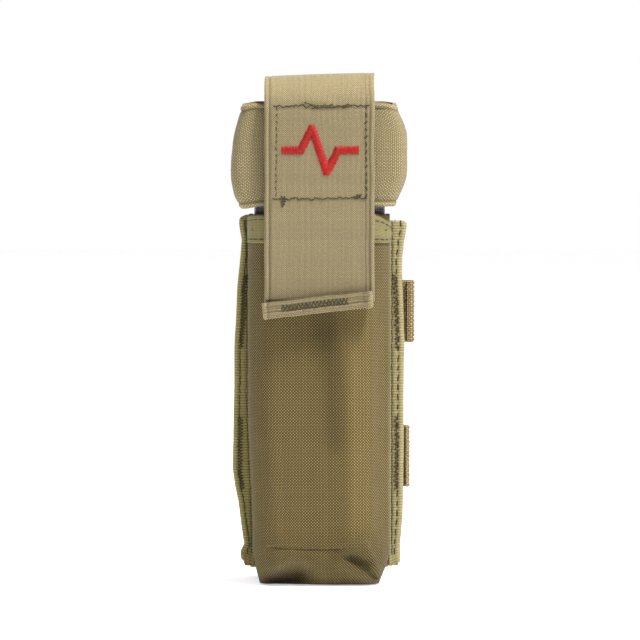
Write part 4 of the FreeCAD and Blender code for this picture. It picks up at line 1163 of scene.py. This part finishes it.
sew("patch_left_dots", [on_flap(snake((sx0 + 0.2, sz0 + 1.5), (sx0 + 0.5, sz1 - 1), 60, 0.25, 13.0))], dark_thread, "flap_front",
    pitch=2.3, length=0.95, thread=0.42, rise=0.3, turn=20, scatter=25, seed=95)
sew("patch_left_pale", [on_flap(snake((sx0 + 0.6, sz0 + 2.6), (sx0 + 0.9, sz1 - 1.4), 60, 0.25, 15.0))], pale_thread, "flap_front",
    pitch=2.3, length=0.8, thread=0.3, rise=0.28, turn=20, scatter=25, seed=96)
sew("patch_right_stitches", [on_flap(snake((sx1 - 0.4, sz0 + 1.2), (sx1 - 0.5, sz1 - 0.6), 60, 0.3, 17.0))], dark_thread, "flap_front",
    pitch=2.55, length=1.5, thread=0.62, rise=0.42, turn=22, scatter=30, seed=97)
knots = [on_flap([(-12.9, sz0 + 0.6), (-11.6, sz0 + 0.2), (-12.4, sz0 - 0.5), (-13.0, sz0 - 0.1)]),
         on_flap([(-12.6, sz0 + 0.1), (-12.5, sz0 - 1.3), (-12.7, sz0 - 2.2)]),
         on_flap([(12.6, sz0 + 0.7), (13.6, sz0 + 1.5), (14.2, sz0 + 1.2)])]
sew("patch_knots", knots, dark_thread, "flap_front", pitch=0.42, length=1.5, thread=0.5, rise=0.6, turn=45, scatter=60, seed=98)

# Emblem: a pulse line in raised satin stitch. Rayon thread lies straight across the stroke, side by side,
# and its ends are a little ragged. It is glossy along the thread, bright red on top, with painted shade as dark red
# between threads.
red_rayon, tree, shader = finish_of("satin_stitched_red_rayon")
where = put(tree, "ShaderNodeTexCoord")
strands = put(tree, "ShaderNodeTexNoise", {"Vector": where.outputs["Object"], "Scale": 1100.0, "Detail": 3.0, "Roughness": 0.7})
shades = put(tree, "ShaderNodeTexNoise", {"Vector": where.outputs["Object"], "Scale": 300.0, "Detail": 2.0})
blend = put(tree, "ShaderNodeMath", {0: strands.outputs["Fac"], 1: 0.5, 2: -0.05}, operation="MULTIPLY_ADD")
blend = put(tree, "ShaderNodeMath", {0: shades.outputs["Fac"], 1: 0.6, 2: blend.outputs[0]}, operation="MULTIPLY_ADD")
red = put(tree, "ShaderNodeMix", {"Factor": blend.outputs[0], 6: srgb("#4f0709"), 7: srgb("#cc2521")}, data_type="RGBA")
ridges = put(tree, "ShaderNodeBump", {"Height": strands.outputs["Fac"], "Strength": 0.5, "Distance": 0.0001})
matt = put(tree, "ShaderNodeMath", {0: strands.outputs["Fac"], 1: 0.25, 2: 0.30}, operation="MULTIPLY_ADD")
for node_made, key, socket in ((red, 2, "Base Color"), (ridges, "Normal", "Normal"), (matt, 0, "Roughness")):
    tree.links.new(node_made.outputs[key], shader.inputs[socket])
shader.inputs["Specular IOR Level"].default_value = 0.25
mark_low, mark_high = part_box("pulse_mark")
stroke = 2.8
mark_z = (mark_low.z + mark_high.z) / 2 / mm
lean = mark_high.x / mm - stroke / 2
tall = (mark_high.z - mark_low.z) / 2 / mm - stroke / 2
beats = [(-lean, 0.0), (-lean * 0.5, 0.0), (-lean * 0.2, tall), (lean * 0.2, -tall), (lean * 0.5, 0.0), (lean, 0.0)]
strokes = []
for (xa, za), (xb, zb) in zip(beats, beats[1:]):
    size = math.hypot(xb - xa, zb - za)
    ux, uz = (xb - xa) / size, (zb - za) / size
    first = -0.6 if (xa, za) != beats[0] else 0.0
    strokes.append([(xa + ux * d, mark_z + za + uz * d) for d in [mix(first, size + 0.6, k / 24) for k in range(25)]])
sew("pulse_underlay", [on_flap(line) for line in strokes], red_rayon, "flap_front",
    pitch=0.42, length=2.5, thread=0.5, rise=0.55, turn=84, scatter=3, seed=101)
sew("pulse_satin", [on_flap(line) for line in strokes], red_rayon, "flap_front",
    pitch=0.26, length=2.85, thread=0.34, rise=1.0, turn=88, scatter=7, seed=102, stands_for=["pulse_mark"])

# Pull tab: the strap's end folded to the front, a little askew, so it can be pinched. Its ribs bunch along
# the fold, its raw top edge is fuzzy, and a zigzag tack holds it.
tab_low, tab_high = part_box("pull_tab")
tilt = math.radians(6.5)
tab_half = 19.25
tab_z = fall_low.z / mm
tab_turn = Matrix.Rotation(-tilt, 3, "Y")
tab_pivot = Vector((-0.6, fall_y, tab_z))


def tab_place(x, y, z):
    """A place on the tab from its own straight axes to the pouch's."""
    return tab_pivot + tab_turn @ Vector((x, y - fall_y, z))


tab_front = tab_low.y / mm + 0.55
hook_path = []
tab_fold, tab_radius, tab_top = -0.9, 1.35, 2.9
for k in range(8):
    hook_path.append((fall_y, mix(1.6, tab_fold, k / 7), 1.0, 0.0))
for k in range(1, 14):
    a = math.pi * k / 14
    hook_path.append((mix(fall_y, tab_front, (1 - math.cos(a)) / 2), tab_fold - tab_radius * math.sin(a), math.cos(a), -math.sin(a)))
for k in range(22):
    hook_path.append((tab_front, mix(tab_fold, tab_top, k / 21), -1.0, 0.0))
rows = []
for i in range(97):
    x = mix(-tab_half, tab_half, i / 96)
    rim = min(x + tab_half, tab_half - x)
    cord = 0.22 * math.exp(-((rim - 0.9) / 0.45) ** 2) - 0.2 * math.exp(-((rim - 1.9) / 0.25) ** 2) - 0.45 * math.exp(-(rim / 0.25) ** 2)
    if x > 0:
        cord += 0.30 * math.exp(-((rim - 1.9) / 0.7) ** 2) * 1.3 - 0.35 * math.exp(-((rim - 3.2) / 0.25) ** 2)
    outer, inner = [], []
    for k, (y, z, ny, nz) in enumerate(hook_path):
        t = k / (len(hook_path) - 1)
        pleat = 0.3 * math.cos(z * 2 * math.pi / 0.95 + 0.5 * noise.noise(Vector((x * 0.2, 3.0, 0)))) * (0.4 + 0.6 * ease(0.1, -0.9, z)) if k > 12 else 0.0
        droop = 0.22 * noise.noise(Vector((x * 0.16, 7.0, 1.0))) * (1 if k > 20 else 0.4)
        top_fray = 0.28 * noise.noise(Vector((x * 1.3, 2.0, 9.0))) * ease(2.2, 3.0, z) if k > 21 else 0.0
        swell = 0.25 * math.exp(-((z - 2.3) / 0.7) ** 2) if k > 21 else 0.0
        n = 0.72 + cord * (1.0 if k > 7 else 0.3) + pleat + swell
        p = tab_place(x, y + ny * n, z + nz * n + droop + top_fray)
        q = tab_place(x, y - ny * 0.62, z - nz * 0.62 + droop)
        outer.append(p * mm)
        inner.append(q * mm)
    rows.append(outer + inner[::-1])
run = [0.0]
for (ya, za, a, b), (yb, zb, c, d) in zip(hook_path, hook_path[1:]):
    run.append(run[-1] + math.hypot(yb - ya, zb - za) * mm)


def tab_painted_shade(p, j):
    """The tab is a little darker all over; a painted shade darkens the groove beside each end selvage, and the selvages
    are paler.
    """
    rim = tab_half - abs(p.x + 0.6)
    return 0.02 - 0.30 * math.exp(-((rim - 0.8) / 0.7) ** 2) + 0.2 * math.exp(-((rim - 2.1) / 0.3) ** 2)


tab = skin("pull_tab_fold", rows, run + run[::-1], flap_cloth, turned=True, painted_light_shade=tab_painted_shade)
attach(tab, "flap_front")
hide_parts("pull_tab")
zigzag = []
for line_z, seed in ((-0.35, 0.0), (0.75, 4.0)):
    zigzag.append([(tuple(tab_place(x, tab_front - 0.78, line_z + 0.25 * noise.noise(Vector((x * 0.5, seed, 0))))), (0, -1, 0))
                   for x in [mix(-12.2, 10.2, k / 50) for k in range(51)]])
sew("tab_tack_thread", zigzag, dark_thread, "flap_front", pitch=0.66, length=1.9, thread=0.46, rise=0.3, turn=58, scatter=14,
    seed=103, stands_for=["tab_tack"])
fuzz = [[(tuple(tab_place(x, tab_front - 0.35, tab_top + 0.05)), (0, -0.5, 0.85)) for x in [mix(-18.6, 17.4, k / 60) for k in range(61)]]]
sew("tab_edge_fuzz", fuzz, pale_thread, "flap_front", pitch=0.42, length=0.95, thread=0.16, rise=0.4, turn=50, scatter=60, seed=104)

# Back strap: stiff webbing sewn to the panel under the flap's end. It hangs behind the rows and snaps shut
# near the foot. A seam runs across its tail.
strap_low, strap_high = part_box("molle_strap")
hold_low, hold_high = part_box("strap_anchor")
strap_y = (strap_low.y + strap_high.y) / 2 / mm
strap_wide = (strap_high.x - strap_low.x) / mm
hold_y = (hold_low.y + hold_high.y) / 2 / mm + 0.25
strap_cloth = woven("stiff_nylon_webbing", "#2e2613", "#84764f", "#b2a274", (1.0, 0.7), 0.34, wander=0.06, sheen=0.15, cover="#d8cbb0")
path = []
for k in range(100):
    z = mix(hold_high.z / mm - 0.2, strap_low.z / mm + 0.2, k / 99)
    y = mix(strap_y, hold_y, ease(104.0, 109.5, z))
    path.append(((0, y, z), (1, 0, 0), (0, 1, 0)))
back_strap = strap("back_strap_webbing", path, strap_wide, 1.5, strap_cloth, cord=0.05, groove=0.12)
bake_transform(back_strap)
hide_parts("molle_strap", "strap_anchor")
box_seam = [[((mix(-11, 11, k / 30), hold_y + 0.72, z), (0, 1, 0)) for k in range(31)] for z in (hold_low.z / mm + 1.4, hold_high.z / mm - 1.4)]
sew("strap_anchor_seams", box_seam, dark_thread, "pouch", pitch=2.4, length=1.8, thread=0.42, seed=110)
tail_seam = [[((mix(-11, 11, k / 30), strap_y + 0.74, strap_low.z / mm + 2.0), (0, 1, 0)) for k in range(31)]]
sew("strap_tail_seam", tail_seam, dark_thread, "back_strap", pitch=2.4, length=1.8, thread=0.42, seed=111)

# Snap: pressed brass with a black oxide skin. The skin has worn through to a warm brown on the high spots.
oxide, tree, shader = finish_of("black_oxide_brass")
where = put(tree, "ShaderNodeTexCoord")
rubs = put(tree, "ShaderNodeTexNoise", {"Vector": where.outputs["Object"], "Scale": 420.0, "Detail": 5.0, "Roughness": 0.65})
worn = put(tree, "ShaderNodeMapRange", {"Value": rubs.outputs["Fac"], "From Min": 0.52, "From Max": 0.72})
metal = put(tree, "ShaderNodeMix", {"Factor": worn.outputs["Result"], 6: srgb("#17140f"), 7: srgb("#4a3a24")}, data_type="RGBA")
polish = put(tree, "ShaderNodeMath", {0: rubs.outputs["Fac"], 1: -0.25, 2: 0.52}, operation="MULTIPLY_ADD")
dents = put(tree, "ShaderNodeBump", {"Height": rubs.outputs["Fac"], "Strength": 0.25, "Distance": 0.0001})
for node_made, key, socket in ((metal, 2, "Base Color"), (polish, 0, "Roughness"), (dents, "Normal", "Normal")):
    tree.links.new(node_made.outputs[key], shader.inputs[socket])
shader.inputs["Metallic"].default_value = 1.0
for node in ("snap_stud", "snap_eyelet", "snap_socket", "snap_cap"):
    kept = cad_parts[node]
    kept.data.materials.clear()
    kept.data.materials.append(oxide)

# Tourniquet band: 38 mm hook-and-loop webbing folded back and forth into five layers, which have slid a
# little sideways over each other in the pouch. One face is black hooks, the other grey-lilac loops.
black_side = woven("hook_and_loop_band_black", "#050506", "#17171b", "#34343a", (0.7, 0.55), 0.22, sheen=0.2)
grey_side = woven("hook_and_loop_band_grey", "#6c6776", "#a49eaf", "#d9d4e2", (0.6, 0.5), 0.16, sheen=0.4, mottle=0.3)
band_low, band_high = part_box("tourniquet_band")
layer, gap, layers = 2.3, 0.45, 5
half_turn = (layer + gap) / 2
path, shifts = [], (-2.4, 1.0, -4.0, 0.6, 4.0)
foot_z, head_z = band_low.z / mm + layer / 2 + half_turn, band_high.z / mm - layer / 2 - half_turn
for i in range(layers):
    y = band_high.y / mm - layer / 2 - i * (layer + gap)
    start, end = (foot_z if i else band_low.z / mm + 20.0, head_z)
    if i % 2:
        start, end = end, start
    for k in range(40):
        t = k / 40
        slide = mix(shifts[i], shifts[min(i + 1, 4)] * 0.5 + shifts[i] * 0.5, ease(0.85, 1.0, t)) if i < 4 else shifts[i]
        slide = mix(shifts[i - 1] * 0.5 + shifts[i] * 0.5, slide, ease(0.0, 0.15, t)) if i else slide
        path.append(((slide, y, mix(start, end, t)), (1, 0, 0), (0, -1 if end > start else 1, 0)))
    if i < layers - 1:
        way = 1 if end > start else -1
        for k in range(10):
            a = math.pi * k / 10
            slide = shifts[i] * 0.5 + shifts[i + 1] * 0.5
            path.append(((slide, y - half_turn + half_turn * math.cos(a), end + way * half_turn * math.sin(a)),
                         (1, 0, 0), (0, -way * math.cos(a), -math.sin(a))))
band = strap("tourniquet_band_folded", path, 38.1, 2.0, black_side, cord=0.08, groove=0.12)
band.data.materials.append(grey_side)
outline = len(band.data.vertices) // len(path)
for face in band.data.polygons:
    face.material_index = int(face.index % outline < outline // 2)
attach(band, "tourniquet")
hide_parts("tourniquet_band")

# Welded tip: the band's end is melted flat between dies, which leave a fine crosshatch
tip_plastic, tree, shader = finish_of("welded_nylon_tip")
where = put(tree, "ShaderNodeTexCoord")
hatch = put(tree, "ShaderNodeTexVoronoi", {"Vector": where.outputs["Object"], "Scale": 900.0}, distance="CHEBYCHEV")
press = put(tree, "ShaderNodeBump", {"Height": hatch.outputs["Distance"], "Strength": 0.5, "Distance": 0.0002})
smear = put(tree, "ShaderNodeTexNoise", {"Vector": where.outputs["Object"], "Scale": 150.0, "Detail": 3.0})
grey = put(tree, "ShaderNodeMix", {"Factor": smear.outputs["Fac"], 6: srgb("#4b4b52"), 7: srgb("#6b6b74")}, data_type="RGBA")
gloss = put(tree, "ShaderNodeMath", {0: smear.outputs["Fac"], 1: 0.3, 2: 0.3}, operation="MULTIPLY_ADD")
for node_made, key, socket in ((grey, 2, "Base Color"), (gloss, 0, "Roughness"), (press, "Normal", "Normal")):
    tree.links.new(node_made.outputs[key], shader.inputs[socket])
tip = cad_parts["tourniquet_tip"]
tip.data.materials.clear()
tip.data.materials.append(tip_plastic)

# Hard parts: windlass, clip, buckle and back plate are moulded from glass-filled nylon. Its skin is matt and
# faintly grained, with paler scuffs where it has rubbed.
moulded, tree, shader = finish_of("glass_filled_moulded_nylon")
where = put(tree, "ShaderNodeTexCoord")
grains = put(tree, "ShaderNodeTexNoise", {"Vector": where.outputs["Object"], "Scale": 2600.0, "Detail": 2.0})
scuffs = put(tree, "ShaderNodeTexNoise", {"Vector": where.outputs["Object"], "Scale": 240.0, "Detail": 6.0, "Roughness": 0.7})
rubbed = put(tree, "ShaderNodeMapRange", {"Value": scuffs.outputs["Fac"], "From Min": 0.5, "From Max": 0.75})
black = put(tree, "ShaderNodeMix", {"Factor": rubbed.outputs["Result"], 6: srgb("#121214"), 7: srgb("#34343a")}, data_type="RGBA")
satin = put(tree, "ShaderNodeMath", {0: scuffs.outputs["Fac"], 1: 0.3, 2: 0.35}, operation="MULTIPLY_ADD")
skin_grain = put(tree, "ShaderNodeBump", {"Height": grains.outputs["Fac"], "Strength": 0.3, "Distance": 0.00008})
for node_made, key, socket in ((black, 2, "Base Color"), (satin, 0, "Roughness"), (skin_grain, "Normal", "Normal")):
    tree.links.new(node_made.outputs[key], shader.inputs[socket])
for node in ("windlass", "windlass_clip", "buckle", "tourniquet_plate"):
    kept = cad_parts[node]
    kept.data.materials.clear()
    kept.data.materials.append(moulded)

# Inner ribbon: 25 mm grey nylon tape along the plate. A pleat of it passes through the windlass, so that
# turning the rod shortens it.
grey_tape = woven("plain_grey_nylon_tape", "#232328", "#5a5a63", "#83838e", (0.5, 0.5), 0.14, sheen=0.2)
tape_low, tape_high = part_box("tourniquet_ribbon")
plate_low, plate_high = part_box("tourniquet_plate")
ribbon_y = plate_low.y / mm - 0.5
stations = [((0, ribbon_y, mix(tape_low.z, tape_high.z, k / 70) / mm), (1, 0, 0), (0, -1, 0)) for k in range(71)]
ribbon = strap("inner_ribbon", stations, (tape_high.x - tape_low.x) / mm, 0.8, grey_tape, cord=0.05, groove=0.08)
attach(ribbon, "tourniquet")
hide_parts("tourniquet_ribbon")
rod_low, rod_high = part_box("windlass")
rod_middle = (rod_low.z + rod_high.z) / 2 / mm
pleat = [((0.15 * math.sin(k * 0.5), mix(ribbon_y - 0.3, tape_low.y / mm + 0.1, k / 20), rod_middle), (0, 0, 1), (1, 0, 0)) for k in range(21)]
loop = strap("ribbon_pleat", pleat, 25.4, 0.75, grey_tape, cord=0.05, groove=0.05)
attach(loop, "tourniquet")

# Time strap: a light woven strap that closes over the clip. It is fixed at both edges of the plate.
light_tape = woven("light_woven_strap", "#8a8790", "#c9c6d0", "#ebe9ef", (0.45, 0.45), 0.10, sheen=0.3, mottle=0.2)
time_low, time_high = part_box("time_strap")
tall_middle = (time_low.z + time_high.z) / 2 / mm
half, near, far = time_high.x / mm - 0.55, time_low.y / mm + 0.55, time_high.y / mm - 0.1
path = []
turn = 2.5
for k in range(12):
    path.append(((-half, mix(far, near + turn, k / 12), tall_middle), (0, 0, 1), (-1, 0, 0)))
for k in range(9):
    a = math.pi / 2 * k / 9
    path.append(((-half + turn - turn * math.cos(a), near + turn - turn * math.sin(a), tall_middle), (0, 0, 1), (-math.cos(a), -math.sin(a), 0)))
for k in range(30):
    path.append(((mix(-half + turn, half - turn, k / 30), near, tall_middle), (0, 0, 1), (0, -1, 0)))
for k in range(9):
    a = math.pi / 2 * k / 9
    path.append(((half - turn + turn * math.sin(a), near + turn - turn * math.cos(a), tall_middle), (0, 0, 1), (math.sin(a), -math.cos(a), 0)))
for k in range(13):
    path.append(((half, mix(near + turn, far, k / 12), tall_middle), (0, 0, 1), (1, 0, 0)))
closure = strap("time_strap_closed", path, (time_high.z - time_low.z) / mm, 0.95, light_tape, cord=0.03, groove=0.06, fine=12)
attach(closure, "tourniquet")
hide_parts("time_strap")
